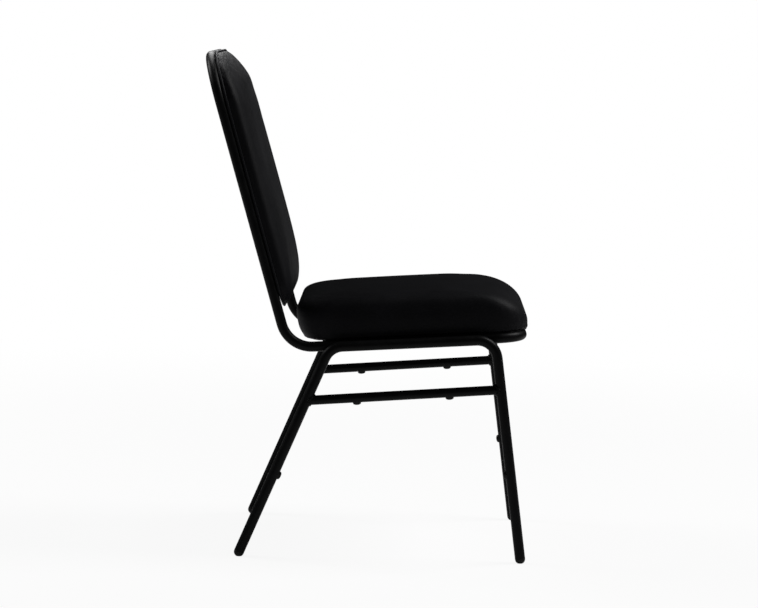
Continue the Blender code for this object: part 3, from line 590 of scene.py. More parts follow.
def rippled(path, radius):
    """A weld bead's radius at each point of its path."""
    radii = []
    travelled = 0.0
    for index, point in enumerate(path):
        if index:
            travelled += (point - path[index - 1]).length
        wave = math.sin(2 * math.pi * travelled / WELD_RIPPLE_PITCH)
        wander = noise.noise(point * WELD_WANDERS_PER_METRE)
        radii.append(radius * (1 + WELD_RIPPLE * wave + WELD_WANDER * wander))
    return radii


def straight_bead(bm, start, end, radius):
    """A weld bead between two points, tapered at its ends."""
    step_length = WELD_RIPPLE_PITCH / BEAD_STEPS_PER_RIPPLE
    count = max(BEAD_LEAST_STEPS, round((end - start).length / step_length))
    path = [start.lerp(end, step / count) for step in range(count + 1)]
    radii = rippled(path, radius)
    for step, share in enumerate(WELD_END_TAPER):
        radii[step] *= share
        radii[-1 - step] *= share
    sweep_open(bm, path, radii, BEAD_SIDES)


# Steel frame

def leg_end(leg):
    """Lower end of a leg tube, seated on its glide's collar."""
    return leg_at_height(leg, GLIDE_CENTRE_HEIGHT) + leg[1] * (GLIDE_COLLAR + FIT_GAP)


def leg_tube(side, x, steel):
    """Rear leg, seat rail and front leg bent from one tube."""
    stations = (leg_end(REAR_LEG), meet(REAR_LEG, SEAT_RAIL), meet(FRONT_LEG, SEAT_RAIL), leg_end(FRONT_LEG))
    corners = [chair_point(x, *station) for station in stations]
    path = rounded_path(corners, (LEG_BEND_RADIUS, LEG_BEND_RADIUS))
    tube(f"{side}_leg_tube", path, FRAME_RADIUS, steel, f"{side}_leg_frame")


def brace_tube(side, x, steel):
    """Tube between the legs, whose ends run into them."""
    path = [chair_point(x, *meet(BRACE, leg)) for leg in (REAR_LEG, FRONT_LEG)]
    tube(f"{side}_brace_tube", path, BRACE_RADIUS, steel, f"{side}_side_brace")


def brace_weld_path(x, leg, inward):
    """Closed path round a brace where its surface meets the leg's, with the brace's direction."""
    along = BRACE[1] * inward
    up = Vector((-along.y, along.x))
    out = Vector((leg[1].y, -leg[1].x))
    if out.dot(along) < 0:
        out = -out
    end = meet(BRACE, leg)
    path = []
    for step in range(BRACE_WELD_STEPS):
        angle = full_turn(step, BRACE_WELD_STEPS)
        across = BRACE_RADIUS * math.sin(angle)
        rise = BRACE_RADIUS * math.cos(angle)
        reach = (math.sqrt(FRAME_RADIUS ** 2 - across ** 2) - rise * up.dot(out)) / along.dot(out)
        path.append(chair_point(x + across, *(end + along * reach + up * rise)))
    return path, chair_direction(0, *along)


def brace_welds(side, x, steel):
    """Weld beads round both ends of a brace."""
    bm = bmesh.new()
    for leg, inward in ((REAR_LEG, 1), (FRONT_LEG, -1)):
        path, axis = brace_weld_path(x, leg, inward)
        sweep_closed(bm, path, rippled(path, WELD_RADIUS), axis, BEAD_SIDES)
    add_piece(f"{side}_brace_welds", bm, steel)


def rail_welds(side, sign, steel):
    """Short beads in the groove under a leg rail and the seat ring beside it."""
    bm = bmesh.new()
    x = sign * (LEG_X + BACK_X) / 2
    half_gap = (LEG_X - BACK_X) / 2
    drop = math.sqrt((FRAME_RADIUS + WELD_RADIUS) ** 2 - half_gap ** 2) - WELD_RADIUS * WELD_SINK
    for ahead in RAIL_WELDS_AHEAD:
        start = SEAT_FACE @ Vector((x, -ahead - RAIL_WELD_LENGTH / 2, -drop))
        end = SEAT_FACE @ Vector((x, -ahead + RAIL_WELD_LENGTH / 2, -drop))
        straight_bead(bm, start, end, WELD_RADIUS)
    add_piece(f"{side}_rail_welds", bm, steel)


def back_tube(steel):
    """Hoop of the back with its two lower ends bent forward under the seat."""
    splice = SEAT_FACE @ Vector((0, -SPLICE_AHEAD, 0))
    top = BACK_FACE @ Vector((0, BACK_TOP_RAIL, 0))
    bend = chair_point(0, *meet(SEAT_RAIL, BACK))
    across = Vector((BACK_X, 0, 0))
    corners = [splice + across, bend + across, top + across, top - across, bend - across, splice - across]
    radii = (LOWER_BEND_RADIUS, TOP_CORNER_RADIUS, TOP_CORNER_RADIUS, LOWER_BEND_RADIUS)
    tube("back_hoop_tube", rounded_path(corners, radii), FRAME_RADIUS, steel, "back_frame")


def seat_tube(steel):
    """U-shaped tube under the front of the seat, from splice to splice."""
    stations = ((1, -SPLICE_AHEAD), (1, -SEAT_TUBE_AHEAD), (-1, -SEAT_TUBE_AHEAD), (-1, -SPLICE_AHEAD))
    corners = [SEAT_FACE @ Vector((sign * BACK_X, y, 0)) for sign, y in stations]
    path = rounded_path(corners, (SEAT_CORNER_RADIUS, SEAT_CORNER_RADIUS))
    tube("seat_ring_tube", path, FRAME_RADIUS, steel, "seat_front_tube")


def flat_bar(bm, xs, y, width, thickness):
    """A flat bar across the tubes, with its edges eased."""
    low = Vector((xs[0], y - width / 2, BAR_TOP - thickness))
    high = Vector((xs[1], y + width / 2, BAR_TOP))
    size = Matrix.Diagonal((*(high - low), 1.0))
    made = bmesh.ops.create_cube(bm, size=1.0, matrix=Matrix.Translation((low + high) / 2) @ size)
    edges = {edge for vert in made["verts"] for edge in vert.link_edges}
    bmesh.ops.bevel(bm, geom=list(edges), offset=BAR_EDGE_ROUND, segments=BAR_EDGE_SEGMENTS, profile=0.5,
                    affect="EDGES")


def bar_bead(bm, sign, y, width, thickness):
    """A weld bead along the underside of a bar where it meets a tube that runs along Y."""
    underside = BAR_TOP - thickness
    sink = BAR_WELD_RADIUS * WELD_SINK
    x = sign * (BACK_X - math.sqrt(FRAME_RADIUS ** 2 - underside ** 2) - sink)
    z = underside - sink
    half = width / 2 - BAR_WELD_RADIUS
    straight_bead(bm, Vector((x, y - half, z)), Vector((x, y + half, z)), BAR_WELD_RADIUS)


def seat_straps(steel):
    """Flat bars across the seat ring, welded along their ends."""
    for name, y in STRAP_LINES:
        bm = bmesh.new()
        flat_bar(bm, (-BAR_REACH, BAR_REACH), y, STRAP_WIDTH, STRAP_THICKNESS)
        for _, sign in SIDES:
            bar_bead(bm, sign, y, STRAP_WIDTH, STRAP_THICKNESS)
        add_piece(f"{name}_seat_bar", bm, steel, f"{name}_seat_strap", face=SEAT_FACE)


def back_tabs(steel):
    """Plates on the inner side of the hoop that carry the back pad."""
    for side, sign in SIDES:
        xs = sorted((sign * BAR_REACH, sign * (BACK_X - TAB_REACH)))
        for name, y in TAB_LINES:
            bm = bmesh.new()
            flat_bar(bm, xs, y, TAB_HEIGHT, TAB_THICKNESS)
            bar_bead(bm, sign, y, TAB_HEIGHT, TAB_THICKNESS)
            add_piece(f"{side}_{name}_tab_plate", bm, steel, f"{side}_{name}_back_tab", face=BACK_FACE)


# Fasteners

def hexagon_radius(angle, apothem):
    """Distance from the middle of a hexagon to its side at an angle."""
    return apothem / math.cos(angle % (math.pi / 3) - math.pi / 6)


def flat_ring(bm, radius_at, height, squash=1.0):
    """A level ring of vertices round Z, with a radius for each angle, squashed along Y."""
    ring = []
    for index in range(TURNED_SIDES):
        angle = full_turn(index, TURNED_SIDES)
        radius = radius_at(angle)
        ring.append(bm.verts.new((radius * math.cos(angle), radius * math.sin(angle) * squash, height)))
    return ring


def turned_rings(bm, profile, squash=1.0):
    """Round or oval rings at (radius, height) points."""
    return [flat_ring(bm, lambda _, r=radius: r, height, squash) for radius, height in profile]


def turned(profile, closed=False, squash=1.0):
    """A body turned round Z from (radius, height) points."""
    bm = bmesh.new()
    stack(bm, turned_rings(bm, profile, squash), closed)
    return bm


def screw_body(length):
    """Pan-head screw along Z with a hexagon socket, and the underside of its head at the origin."""
    bm = bmesh.new()
    top = -SCREW_HEAD_HEIGHT
    ease = SCREW_HEAD_EASE
    profile = [(SCREW_RADIUS, length), (SCREW_RADIUS, 0.0), (SCREW_HEAD_RADIUS, 0.0)]
    for step in range(SCREW_HEAD_STEPS + 1):
        angle = quarter_turn(step, SCREW_HEAD_STEPS)
        radius = SCREW_HEAD_RADIUS - ease + ease * math.cos(angle)
        profile.append((radius, top + ease - ease * math.sin(angle)))
    rings = turned_rings(bm, profile)
    for height in (top, top + SCREW_SOCKET_DEPTH):
        rings.append(flat_ring(bm, lambda angle: hexagon_radius(angle, SCREW_SOCKET_APOTHEM), height))
    stack(bm, rings)
    return bm


def washer_body():
    """Flat washer along Z with its rim eased, and its underside at the origin."""
    rim, top, ease = WASHER_RADIUS, WASHER_THICKNESS, WASHER_EASE
    return turned([(WASHER_BORE, 0), (rim - ease, 0), (rim, ease), (rim, top - ease), (rim - ease, top),
                   (WASHER_BORE, top)], closed=True)


def fasteners(zinc):
    """Screws and washers under the seat bars and behind the back tabs."""
    washer_seat = BAR_TOP - STRAP_THICKNESS - FIT_GAP - WASHER_THICKNESS
    tab_seat = BAR_TOP - TAB_THICKNESS - FIT_GAP
    for side, sign in SIDES:
        for name, y in STRAP_LINES:
            spot = f"seat_{side}_{name}"
            place = SEAT_FACE @ Matrix.Translation((sign * SEAT_SCREW_X, y, washer_seat))
            add_piece(f"{spot}_flat_washer", washer_body(), zinc, f"{spot}_washer", face=place)
            head = place @ Matrix.Translation((0, 0, -FIT_GAP))
            add_piece(f"{spot}_pan_screw", screw_body(SEAT_SCREW_LENGTH), zinc, f"{spot}_screw", face=head)
        for name, y in TAB_LINES:
            spot = f"back_{side}_{name}"
            place = BACK_FACE @ Matrix.Translation((sign * TAB_SCREW_X, y, tab_seat))
            add_piece(f"{spot}_pan_screw", screw_body(BACK_SCREW_LENGTH), zinc, f"{spot}_screw", face=place)


# Bumpers and glides

def bumper_body(tube_radius):
    """Domed oval bumper with a thin rim on a tube along X, standing out along Z."""
    base = tube_radius - BUMPER_SINK
    rise = BUMPER_PROUD + BUMPER_SINK
    reach = BUMPER_LENGTH / 2
    dome = reach * BUMPER_DOME_WIDTH
    profile = [(reach, base), (reach, tube_radius - BUMPER_SKIRT_SINK)]
    profile.append((dome, tube_radius + BUMPER_RIM_PROUD))
    for step in range(1, DOME_STEPS):
        angle = quarter_turn(step, DOME_STEPS)
        climb = BUMPER_DOME_START + (1 - BUMPER_DOME_START) * math.sin(angle) ** BUMPER_DOME_RISE_POWER
        profile.append((dome * math.cos(angle) ** BUMPER_DOME_PLAN_POWER, base + rise * climb))
    return turned(profile, squash=BUMPER_WIDTH / BUMPER_LENGTH)


def placed(x, seat, x_axis, z_axis):
    """A frame at a point of the side view, from two of its axes."""
    turn = Matrix((x_axis, z_axis.cross(x_axis), z_axis)).transposed().to_4x4()
    return Matrix.Translation(chair_point(x, *seat)) @ turn


def bumper(spot, x, seat, out, tube_radius, plastic):
    """A bumper on a tube of the side view, pointing out of it."""
    z_axis = chair_direction(0, *out)
    place = placed(x, seat, Vector((1, 0, 0)).cross(z_axis), z_axis)
    add_piece(f"{spot}_pad", bumper_body(tube_radius), plastic, f"{spot}_bumper", face=place)


def bumpers(side, x, plastic):
    """The two bumpers under a brace and the one on each leg of its frame."""
    start, along = BRACE
    down = Vector((along.y, -along.x))
    for end, ahead in (("rear", -REAR_BRACE_BUMPER_BEHIND), ("front", FRONT_BRACE_BUMPER_AHEAD)):
        seat = start + along * (ahead / along.x)
        bumper(f"{side}_{end}_brace", x, seat, down, BRACE_RADIUS, plastic)
    for end, leg, height, inward in (("rear", REAR_LEG, REAR_LEG_BUMPER_HEIGHT, 1),
                                     ("front", FRONT_LEG, FRONT_LEG_BUMPER_HEIGHT, -1)):
        out = Vector((leg[1].y, -leg[1].x)) * inward
        bumper(f"{side}_{end}_leg", x, leg_at_height(leg, height), out, FRAME_RADIUS, plastic)


def glide_profile():
    """(radius, height) points of a glide, from its dome to the top of its grooved collar."""
    profile = []
    for step in range(1, DOME_STEPS + 1):
        angle = quarter_turn(step, DOME_STEPS)
        profile.append((FRAME_RADIUS * math.sin(angle), -FRAME_RADIUS * math.cos(angle)))
    groove = FRAME_RADIUS - GLIDE_GROOVE
    radii = (FRAME_RADIUS, groove, groove, FRAME_RADIUS, FRAME_RADIUS)
    shares = (*GLIDE_GROOVE_STARTS, *GLIDE_GROOVE_ENDS, 1.0)
    return profile + [(radius, GLIDE_COLLAR * share) for radius, share in zip(radii, shares)]


def glide(side, end, x, leg, plastic):
    """Domed foot with a grooved collar, worn flat where it stands."""
    bm = turned(glide_profile())
    seat = leg_at_height(leg, GLIDE_CENTRE_HEIGHT)
    bm.transform(placed(x, seat, Vector((1, 0, 0)), chair_direction(0, *leg[1])))
    bmesh.ops.bisect_plane(bm, geom=bm.verts[:] + bm.edges[:] + bm.faces[:], plane_co=(0, 0, 0),
                           plane_no=(0, 0, 1), clear_inner=True)
    bmesh.ops.holes_fill(bm, edges=[edge for edge in bm.edges if edge.is_boundary])
    add_piece(f"{side}_{end}_glide_cap", bm, plastic, f"{side}_{end}_foot_glide")


# Pads

def pad_outline(pad):
    """Points round a pad's plan with their outward directions, anticlockwise."""
    corners = []
    for quarter, (x_sign, y_sign) in enumerate(((1, -1), (1, 1), (-1, 1), (-1, -1))):
        end, radius = (pad.high_end, pad.high_corner) if y_sign > 0 else (pad.low_end, pad.low_corner)
        centre = Vector((x_sign * (pad.half_width - radius), end - y_sign * radius))
        arc = []
        for step in range(PAD_CORNER_STEPS + 1):
            angle = (quarter - 1) * math.pi / 2 + quarter_turn(step, PAD_CORNER_STEPS)
            out = Vector((math.cos(angle), math.sin(angle)))
            arc.append((centre + out * radius, out))
        corners.append(arc)
    outline = []
    for arc, following in zip(corners, corners[1:] + corners[:1]):
        outline += arc
        (start, out), end = arc[-1], following[0][0]
        for step in range(1, PAD_SIDE_STEPS):
            outline.append((start.lerp(end, step / PAD_SIDE_STEPS), out))
    return outline


def pad_directions(pad):
    """Outward directions round a pad's plan."""
    return [out for _, out in pad_outline(pad)]


def pad_plan(pad, side_in, low_in, high_in):
    """A pad's plan drawn in by its own amount at the sides, at the low end and at the high end."""
    points = []
    for point, _ in pad_outline(pad):
        end_in = high_in if point.y > pad.middle else low_in
        x = point.x * (1 - side_in / pad.half_width)
        y = pad.middle + (point.y - pad.middle) * (1 - end_in / pad.reach)
        points.append(Vector((x, y)))
    return points


def pad_inset(pad, extra):
    """A pad's plan at its foot, drawn in further by an extra amount."""
    return pad_plan(pad, pad.side.tuck + extra, pad.low.tuck + extra, pad.high.tuck + extra)


def edge_profile(edge):
    """(inset, height) points of an edge, from its foot to the end of its roll."""
    power = 2 / edge.fullness
    profile = [(edge.tuck, PAD_FLOOR + UNDERSIDE_RISE)]
    for step in range(1, PAD_LOW_STEPS + 1):
        angle = quarter_turn(step, PAD_LOW_STEPS)
        rise = (edge.widest - PAD_FLOOR) * (1 - max(0.0, math.cos(angle)) ** power)
        height = max(PAD_FLOOR + rise, PAD_FLOOR + UNDERSIDE_RISE * (1 + step / PAD_LOW_STEPS))
        profile.append((edge.tuck * (1 - math.sin(angle) ** power), height))
    for step in range(1, PAD_ROLL_STEPS + 1):
        angle = quarter_turn(step, PAD_ROLL_STEPS)
        inset = edge.roll * (1 - max(0.0, math.cos(angle)) ** power)
        profile.append((inset, edge.widest + (edge.top - edge.widest) * math.sin(angle) ** power))
    return profile


def edge_rings(pad):
    """Rings of points round a pad's edge, from its foot to its shoulder."""
    directions = pad_directions(pad)
    rings = []
    for side, low, high in zip(edge_profile(pad.side), edge_profile(pad.low), edge_profile(pad.high)):
        ring = []
        for point, out in zip(pad_plan(pad, side[0], low[0], high[0]), directions):
            end_height = high[1] if out.y > 0 else low[1]
            ring.append(Vector((point.x, point.y, side[1] * out.x ** 2 + end_height * out.y ** 2)))
        rings.append(ring)
    return rings


def crown_point(pad, shoulder_point, summit, level, share):
    """A point between the summit and the shoulder of a pad, on a crown that is round both ways."""
    point = summit.lerp(shoulder_point, share)
    bulge = (1 - (point.x / pad.half_width) ** 2) * (1 - ((point.y - summit.y) / pad.reach) ** 2)
    edge_rise = (shoulder_point.z - level) * share ** 2
    point.z = level + edge_rise + (summit.z - level) * bulge * (1 - share ** CROWN_FALL)
    return point


def pad_form(pad):
    """Closed form of a pad, from its flat underside up to its crown."""
    rings = edge_rings(pad)
    shoulder = rings[-1]
    summit = Vector((0, pad.middle, pad.crown))
    level = sum(point.z for point in shoulder) / len(shoulder)
    for step in range(1, PAD_CROWN_STEPS):
        share = 1 - step / PAD_CROWN_STEPS
        rings.append([crown_point(pad, point, summit, level, share) for point in shoulder])
    bm = bmesh.new()
    loops = [[bm.verts.new(point) for point in ring] for ring in rings]
    for first, second in zip(loops, loops[1:]):
        bridge(bm, first, second)
    fan(bm, loops[-1], summit)
    bm.faces.new(loops[0])
    bmesh.ops.recalc_face_normals(bm, faces=bm.faces)
    return bm


# Cushions

def evaluated_mesh(obj):
    """A new mesh with the object's modifiers applied."""
    bpy.context.view_layer.update()
    evaluated = obj.evaluated_get(bpy.context.evaluated_depsgraph_get())
    return bpy.data.meshes.new_from_object(evaluated)


def coordinates(mesh):
    """A mesh's vertices as an array."""
    values = np.empty(len(mesh.vertices) * 3)
    mesh.vertices.foreach_get("co", values)
    return values.reshape(-1, 3)


def set_coordinates(mesh, values):
    """Moves a mesh's vertices to an array of places."""
    mesh.vertices.foreach_set("co", np.asarray(values, dtype=np.float64).ravel())
    mesh.update()


def vertex_normals(mesh):
    """A mesh's vertex normals as an array."""
    return np.array([vert.normal[:] for vert in mesh.vertices])


def smoothed(mesh, values, passes):
    """Values at a mesh's vertices, averaged over their neighbours a few times."""
    pairs = np.empty(len(mesh.edges) * 2, dtype=np.int64)
    mesh.edges.foreach_get("vertices", pairs)
    first, second = pairs.reshape(-1, 2).T
    count = np.zeros(len(values))
    np.add.at(count, first, 1)
    np.add.at(count, second, 1)
    for _ in range(passes):
        total = np.zeros_like(values)
        np.add.at(total, first, values[second])
        np.add.at(total, second, values[first])
        values = (1 - SMOOTH_SHARE) * values + SMOOTH_SHARE * total / count[:, None]
    return values


def remeshed(name, bm):
    """An object of a form that is meshed again in even squares, which lie on its surface."""
    tree = BVHTree.FromBMesh(bm)
    mesh = bpy.data.meshes.new(name)
    bm.to_mesh(mesh)
    bm.free()
    obj = bpy.data.objects.new(name, mesh)
    bpy.context.collection.objects.link(obj)
    modifier = obj.modifiers.new("even_squares", "REMESH")
    modifier.mode = "VOXEL"
    modifier.voxel_size = CUSHION_VOXEL
    even = evaluated_mesh(obj)
    obj.modifiers.clear()
    obj.data = even
    set_coordinates(even, [tree.find_nearest(Vector(place))[0] for place in coordinates(even)])
    return obj


def soften(mesh):
    """Rounds a form's creases, away from its pinned foot."""
    form = coordinates(mesh)
    soft = smoothed(mesh, form, CUSHION_SOFTEN_PASSES)
    pinned = form[:, 2] < PINNED_BELOW
    soft[pinned] = form[pinned]
    set_coordinates(mesh, soft)


def swollen(obj, pinned):
    """Places of an object's vertices once pressure has swollen it as cloth, with some pinned."""
    group = obj.vertex_groups.new(name="pinned")
    group.add([int(index) for index in np.flatnonzero(pinned)], 1.0, "REPLACE")
    cloth = obj.modifiers.new("cloth", "CLOTH")
    settings = cloth.settings
    settings.use_pressure = True
    settings.uniform_pressure_force = CUSHION_PRESSURE
    settings.vertex_group_mass = group.name
    settings.effector_weights.gravity = 0.0
    cloth.collision_settings.use_collision = False
    scene = bpy.context.scene
    for number in range(1, CUSHION_FRAMES + 1):
        scene.frame_set(number)
    mesh = evaluated_mesh(obj)
    places = coordinates(mesh)
    bpy.data.meshes.remove(mesh)
    scene.frame_set(1)
    obj.modifiers.clear()
    obj.vertex_groups.clear()
    return places


def capped(move, normals):
    """Moves of vertices, kept short off the surface and along it."""
    rise = (move * normals).sum(axis=1, keepdims=True)
    along = move - rise * normals
    length = np.linalg.norm(along, axis=1, keepdims=True)
    along *= np.minimum(1.0, CUSHION_CAP_ALONG / np.maximum(length, NO_LENGTH))
    return np.clip(rise, -CUSHION_CAP_IN, CUSHION_CAP_OUT) * normals + along


def inflate(obj):
    """Swells a form under pressure as cloth, from a little smaller, and keeps it near the form."""
    mesh = obj.data
    form = coordinates(mesh)
    normals = vertex_normals(mesh)
    pinned = form[:, 2] < PINNED_BELOW
    start = form - normals * CUSHION_START_INSET
    start[pinned] = form[pinned]
    set_coordinates(mesh, start)
    move = capped(swollen(obj, pinned) - form, normals)
    move[pinned] = 0.0
    move = smoothed(mesh, move, CUSHION_SMOOTH_PASSES)
    move[pinned] = 0.0
    set_coordinates(mesh, form + move)


def cushion(name, pad, face, coat, *nodes):
    """A stuffed pad, swollen as cloth and closed underneath."""
    obj = remeshed(name, pad_form(pad))
    mesh = obj.data
    soften(mesh)
    inflate(obj)
    mesh.transform(face)
    mesh.materials.clear()
    mesh.materials.append(coat.material)
    mesh.shade_smooth()
    finer = obj.modifiers.new("finer", "SUBSURF")
    finer.levels = 1
    finer.render_levels = 1
    attach(obj, coat.slot, *nodes)


# Covers, sheets and trim

def corner_share(out):
    """How far round a corner a direction points: 0 along a side, 1 in the middle of the corner."""
    return min(1.0, 2 * abs(out.x * out.y))


def cover_lip(name, pad, face, coat):
    """Edge of the cover folded under the board, gathered in pleats at the corners."""
    bm = bmesh.new()
    directions = pad_directions(pad)
    stations = [(LIP_EASE, PANEL_TOP, 0.0), (0.0, LIP_FLOOR + LIP_EASE, 0.0)]
    stations.append((LIP_EASE, LIP_FLOOR, PLEAT_START))
    stations += [(COVER_LIP * share, LIP_FLOOR, 1.0) for share in LIP_RINGS]
    stations.append((COVER_LIP, PANEL_TOP, 0.0))
    rings = []
    for inset, height, pleated in stations:
        ring = []
        for point, out in zip(pad_inset(pad, inset), directions):
            turn = math.atan2(out.y, out.x)
            pleat = max(0.0, math.cos(4 * PLEAT_COUNT * turn)) * corner_share(out) * pleated
            ring.append(bm.verts.new((point.x, point.y, height + PLEAT_DEPTH * pleat)))
        rings.append(ring)
    stack(bm, rings, closed=True)
    add_piece(name, bm, coat, face=face)


def sheet_form(pad, plan, height, sag):
    """Surface inside a plan that hangs slightly slack between its fixings."""
    middle = Vector((0, pad.middle))
    bm = bmesh.new()
    rings = []
    for step in range(SHEET_RINGS):
        share = 1 - step / SHEET_RINGS
        ring = []
        for point in plan:
            place = middle.lerp(point, share)
            wave = noise.noise(place.to_3d() * SHEET_WAVES_PER_METRE)
            slack = (1 - share ** SHEET_EDGE_POWER) * (SHEET_SLACK + SHEET_WAVE * wave)
            ring.append(bm.verts.new((place.x, place.y, height - sag * slack)))
        rings.append(ring)
    for first, second in zip(rings, rings[1:]):
        bridge(bm, first, second)
    fan(bm, rings[-1], (middle.x, middle.y, height - sag * SHEET_SLACK))
    return bm


def stretched_sheet(name, pad, face, thickness, sag, coat, node):
    """A cloth or vinyl sheet stretched inside the lip."""
    plan = pad_inset(pad, COVER_LIP + 2 * FIT_GAP)
    obj = add_object(name, sheet_form(pad, plan, PANEL_TOP - thickness, sag), coat.material, face)
    thicken = obj.modifiers.new("thickness", "SOLIDIFY")
    thicken.thickness = thickness
    thicken.offset = -1.0
    attach(obj, coat.slot, node)


def spaced(plan, spacing):
    """Evenly spaced points round a closed plan, each with the direction along it."""
    lengths = [(plan[(index + 1) % len(plan)] - point).length for index, point in enumerate(plan)]
    count = round(sum(lengths) / spacing)
    step = sum(lengths) / count
    places = []
    travelled = 0.0
    for index, (point, length) in enumerate(zip(plan, lengths)):
        along = (plan[(index + 1) % len(plan)] - point).normalized()
        while len(places) * step < travelled + length and len(places) < count:
            places.append((point + along * (len(places) * step - travelled), along))
        travelled += length
    return places


def staples(zinc):
    """Wire staples round the edge of the dust cover."""
    bm = bmesh.new()
    plan = pad_inset(SEAT_PAD, COVER_LIP + 2 * FIT_GAP + STAPLE_EDGE)
    low = PANEL_TOP - DUST_COVER_THICKNESS - STAPLE_PROUD
    reach = STAPLE_CROWN / 2
    bend = reach - STAPLE_WIRE_RADIUS
    shoulder = low + STAPLE_WIRE_RADIUS
    stations = ((-reach, PANEL_TOP), (-reach, shoulder), (-bend, low), (bend, low), (reach, shoulder),
                (reach, PANEL_TOP))
    for place, along in spaced(plan, STAPLE_SPACING):
        path = [Vector((*(place + along * offset), height)) for offset, height in stations]
        sweep_open(bm, path, [STAPLE_WIRE_RADIUS] * len(path), BEAD_SIDES)
    add_piece("dust_cover_staples", bm, zinc, face=SEAT_FACE)


def foot_inset(edge, height):
    """How far an edge's lower curve is drawn in at a height above the foot."""
    rise = min(1.0, (height - PAD_FLOOR) / (edge.widest - PAD_FLOOR))
    angle = math.acos((1 - rise) ** (edge.fullness / 2))
    return edge.tuck * (1 - math.sin(angle) ** (2 / edge.fullness))


def back_piping(trim):
    """Cord sewn round the rear edge of the back pad, in the trim vinyl whose lighter tint paints a highlight
    along it.
    """
    pad = BACK_PAD
    top = PAD_FLOOR + 2 * PIPING_RADIUS
    insets = [foot_inset(edge, top) + PIPING_SINK for edge in (pad.side, pad.low, pad.high)]
    path = [Vector((point.x, point.y, LIP_FLOOR + PIPING_RADIUS)) for point in pad_plan(pad, *insets)]
    bm = bmesh.new()
    sweep_closed(bm, path, [PIPING_RADIUS] * len(path), Vector((0, 0, 1)), PIPING_SIDES)
    add_piece("back_edge_piping", bm, trim, "back_piping", face=BACK_FACE)


# Studio

def seen_directly(nodes, gloss_share):
    """1 for rays from the camera or a clear surface, a share for those from a gloss, and 0 for light."""
    rays = nodes.node("ShaderNodeLightPath").outputs
    glossy = nodes.sum(rays["Is Camera Ray"], rays["Is Glossy Ray"], gloss_share)
    return nodes.sum(glossy, rays["Is Transmission Ray"], 1.0)


def studio_world():
    """White to the camera and through clear surfaces, dim to a gloss, with weak even light."""
    world = bpy.data.worlds.new("studio")
    bpy.context.scene.world = world
    world.use_nodes = True
    world.node_tree.nodes.clear()
    nodes = Nodes(world.node_tree)
    lights = []
    for strength in (WORLD_LEVEL, seen_directly(nodes, WORLD_GLOSS_LEVEL)):
        light = nodes.node("ShaderNodeBackground", (("Color", WHITE), ("Strength", strength)))
        lights.append(light.outputs["Background"])
    mixed = nodes.mixed(seen_directly(nodes, 1.0), *lights)
    nodes.node("ShaderNodeOutputWorld", (("Surface", mixed),))


def floor_material():
    """Pale floor that stays near white to the camera and keeps the chair's shadow."""
    look = Finish("pale_studio_floor")
    for name, value in (("Base Color", FLOOR_COLOUR), ("Roughness", FLOOR_ROUGHNESS),
                        ("Specular IOR Level", FLOOR_SPECULAR)):
        look.feed(look.shader.inputs[name], value)
    distance = look.node("ShaderNodeVectorMath", ((0, look.place),), operation="LENGTH").outputs["Value"]
    fade = look.span(distance, between=(FLOOR_FADE_START, FLOOR_FADE_END), to=(FLOOR_GLOW_SHARE, 1.0),
                     interpolation_type="SMOOTHSTEP")
    factors = enumerate((seen_directly(look, FLOOR_GLOSS_SHARE), fade))
    share = look.node("ShaderNodeMath", factors, operation="MULTIPLY").outputs["Value"]
    glow = look.node("ShaderNodeEmission").outputs["Emission"]
    mixed = look.mixed(share, look.shader.outputs["BSDF"], glow)
    look.feed(look.tree.nodes["Material Output"].inputs["Surface"], mixed)
    return look.material


def studio_floor():
    """Wide level floor under the feet."""
    bm = bmesh.new()
    bmesh.ops.create_grid(bm, x_segments=FLOOR_SEGMENTS, y_segments=FLOOR_SEGMENTS, size=FLOOR_SIZE / 2)
    floor = add_object("studio_floor", bm, floor_material())


def softbox(name, place, target, size, watts):
    """A soft rectangular light aimed at a point."""
    light = bpy.data.lights.new(name, "AREA")
    light.shape = "RECTANGLE"
    light.size, light.size_y = size
    light.energy = watts
    obj = bpy.data.objects.new(name, light)
    bpy.context.collection.objects.link(obj)
    obj.location = place
    obj.rotation_euler = (Vector(target) - Vector(place)).to_track_quat("-Z", "Y").to_euler()
    obj.visible_camera = False
    return obj


def light_only(light, *names):
    """Keeps a light to the named pieces."""
    receivers = bpy.data.collections.new(light.name + "_receivers")
    for name in names:
        receivers.objects.link(bpy.data.objects[name])
    light.light_linking.receiver_collection = receivers


def studio_lights():
    """A box ahead of the chair, one behind it and one over the back that keeps to the back."""
    softbox("front_softbox", place=(0.2, -1.9, 2.6), target=(0.0, -0.1, 0.5), size=(1.2, 1.2), watts=66)
    softbox("rear_softbox", place=(0.5, 2.3, 2.2), target=(0.0, 0.3, 0.7), size=(1.2, 1.2), watts=50)
    top = softbox("top_softbox", place=(0.85, 0.35, 2.0), target=(0.0, 0.33, 0.93), size=(0.8, 1.6),
                  watts=28)
    light_only(top, "back_hoop_tube", "back_edge_piping", "back_cushion")


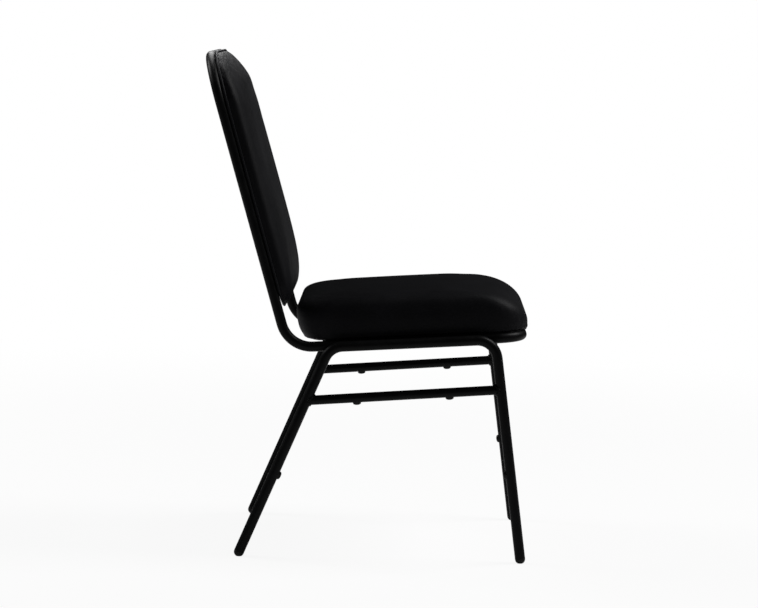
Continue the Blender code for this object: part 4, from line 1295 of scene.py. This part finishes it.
def photo_camera():
    """Camera at the photograph's place, level and focal length."""
    level = chair_direction(math.cos(CAMERA_YAW), math.sin(CAMERA_YAW), 0)
    right = chair_direction(-math.sin(CAMERA_YAW), math.cos(CAMERA_YAW), 0)
    up = Vector((0, 0, 1))
    forward = level * math.cos(CAMERA_PITCH) - up * math.sin(CAMERA_PITCH)
    above = up * math.cos(CAMERA_PITCH) + level * math.sin(CAMERA_PITCH)
    x_axis = right * math.cos(CAMERA_ROLL) + above * math.sin(CAMERA_ROLL)
    y_axis = above * math.cos(CAMERA_ROLL) - right * math.sin(CAMERA_ROLL)
    camera = bpy.data.cameras.new("photo_camera")
    camera.sensor_fit = "HORIZONTAL"
    camera.sensor_width = SENSOR_MM
    camera.lens = FOCAL_PX * SENSOR_MM / IMAGE_WIDTH_PX
    obj = bpy.data.objects.new("photo_camera", camera)
    bpy.context.collection.objects.link(obj)
    turn = Matrix((x_axis, y_axis, -forward)).transposed().to_4x4()
    obj.matrix_world = Matrix.Translation(chair_point(CAMERA_X, CAMERA_AHEAD, CAMERA_HEIGHT)) @ turn
    bpy.context.scene.camera = obj


# Assembly

def dress_hidden_nodes(steel, zinc, wood):
    """Finishes for the solids that stay: sleeves, boards and T-nuts."""
    finishes = {"splice_ferrule": steel.material, "board": wood, "nut": zinc.material}
    for name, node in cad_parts.items():
        for ending, material in finishes.items():
            if name.endswith(ending):
                node.data.materials.clear()
                node.data.materials.append(material)


def dress_frame(steel, plastic, zinc):
    """Tubes, welds, bars, tabs, fasteners, bumpers and glides."""
    for side, sign in SIDES:
        x = sign * LEG_X
        leg_tube(side, x, steel)
        brace_tube(side, x, steel)
        brace_welds(side, x, steel)
        rail_welds(side, sign, steel)
        bumpers(side, x, plastic)
        for end, leg in (("rear", REAR_LEG), ("front", FRONT_LEG)):
            glide(side, end, x, leg, plastic)
    back_tube(steel)
    seat_tube(steel)
    seat_straps(steel)
    back_tabs(steel)
    fasteners(zinc)


def dress_upholstery(zinc):
    """Cushions, lips, closing sheets, staples and piping."""
    cover = Coat(vinyl("black_seat_vinyl", tint=(0.0046, 0.0046, 0.0056), rough=(0.48, 0.62)), "black_vinyl")
    # The trim vinyl is a lighter copy of the cover vinyl: a painted highlight on the piping and on the rear
    # panel.
    trim = Coat(vinyl("black_trim_vinyl_painted_lighter", tint=(0.0080, 0.0080, 0.0094), rough=(0.46, 0.60)), "black_vinyl")
    cloth = Coat(dust_cloth(), "dust_cloth")
    cushion("seat_cushion", SEAT_PAD, SEAT_FACE, cover, "seat_cover", "seat_foam")
    cushion("back_cushion", BACK_PAD, BACK_FACE, cover, "back_cover", "back_foam")
    cover_lip("seat_cover_lip", SEAT_PAD, SEAT_FACE, cover)
    cover_lip("back_cover_lip", BACK_PAD, BACK_FACE, cover)
    stretched_sheet("seat_bottom_cloth", SEAT_PAD, SEAT_FACE, DUST_COVER_THICKNESS, DUST_COVER_SAG, cloth,
                    "seat_dust_cover")
    stretched_sheet("back_closing_panel", BACK_PAD, BACK_FACE, REAR_PANEL_THICKNESS, 0.0, trim,
                    "back_rear_panel")
    staples(zinc)
    back_piping(trim)


def main():
    """Camera, studio and every piece of the chair."""
    bpy.context.scene.view_settings.view_transform = "Standard"
    photo_camera()
    studio_world()
    studio_floor()
    steel = Coat(powder_coat(), "black_powder_coat")
    zinc = Coat(zinc_plate(), "zinc_plated_steel")
    dress_hidden_nodes(steel, zinc, birch_plywood())
    dress_frame(steel, Coat(moulded_plastic(), "black_plastic"), zinc)
    dress_upholstery(zinc)
    studio_lights()


main()
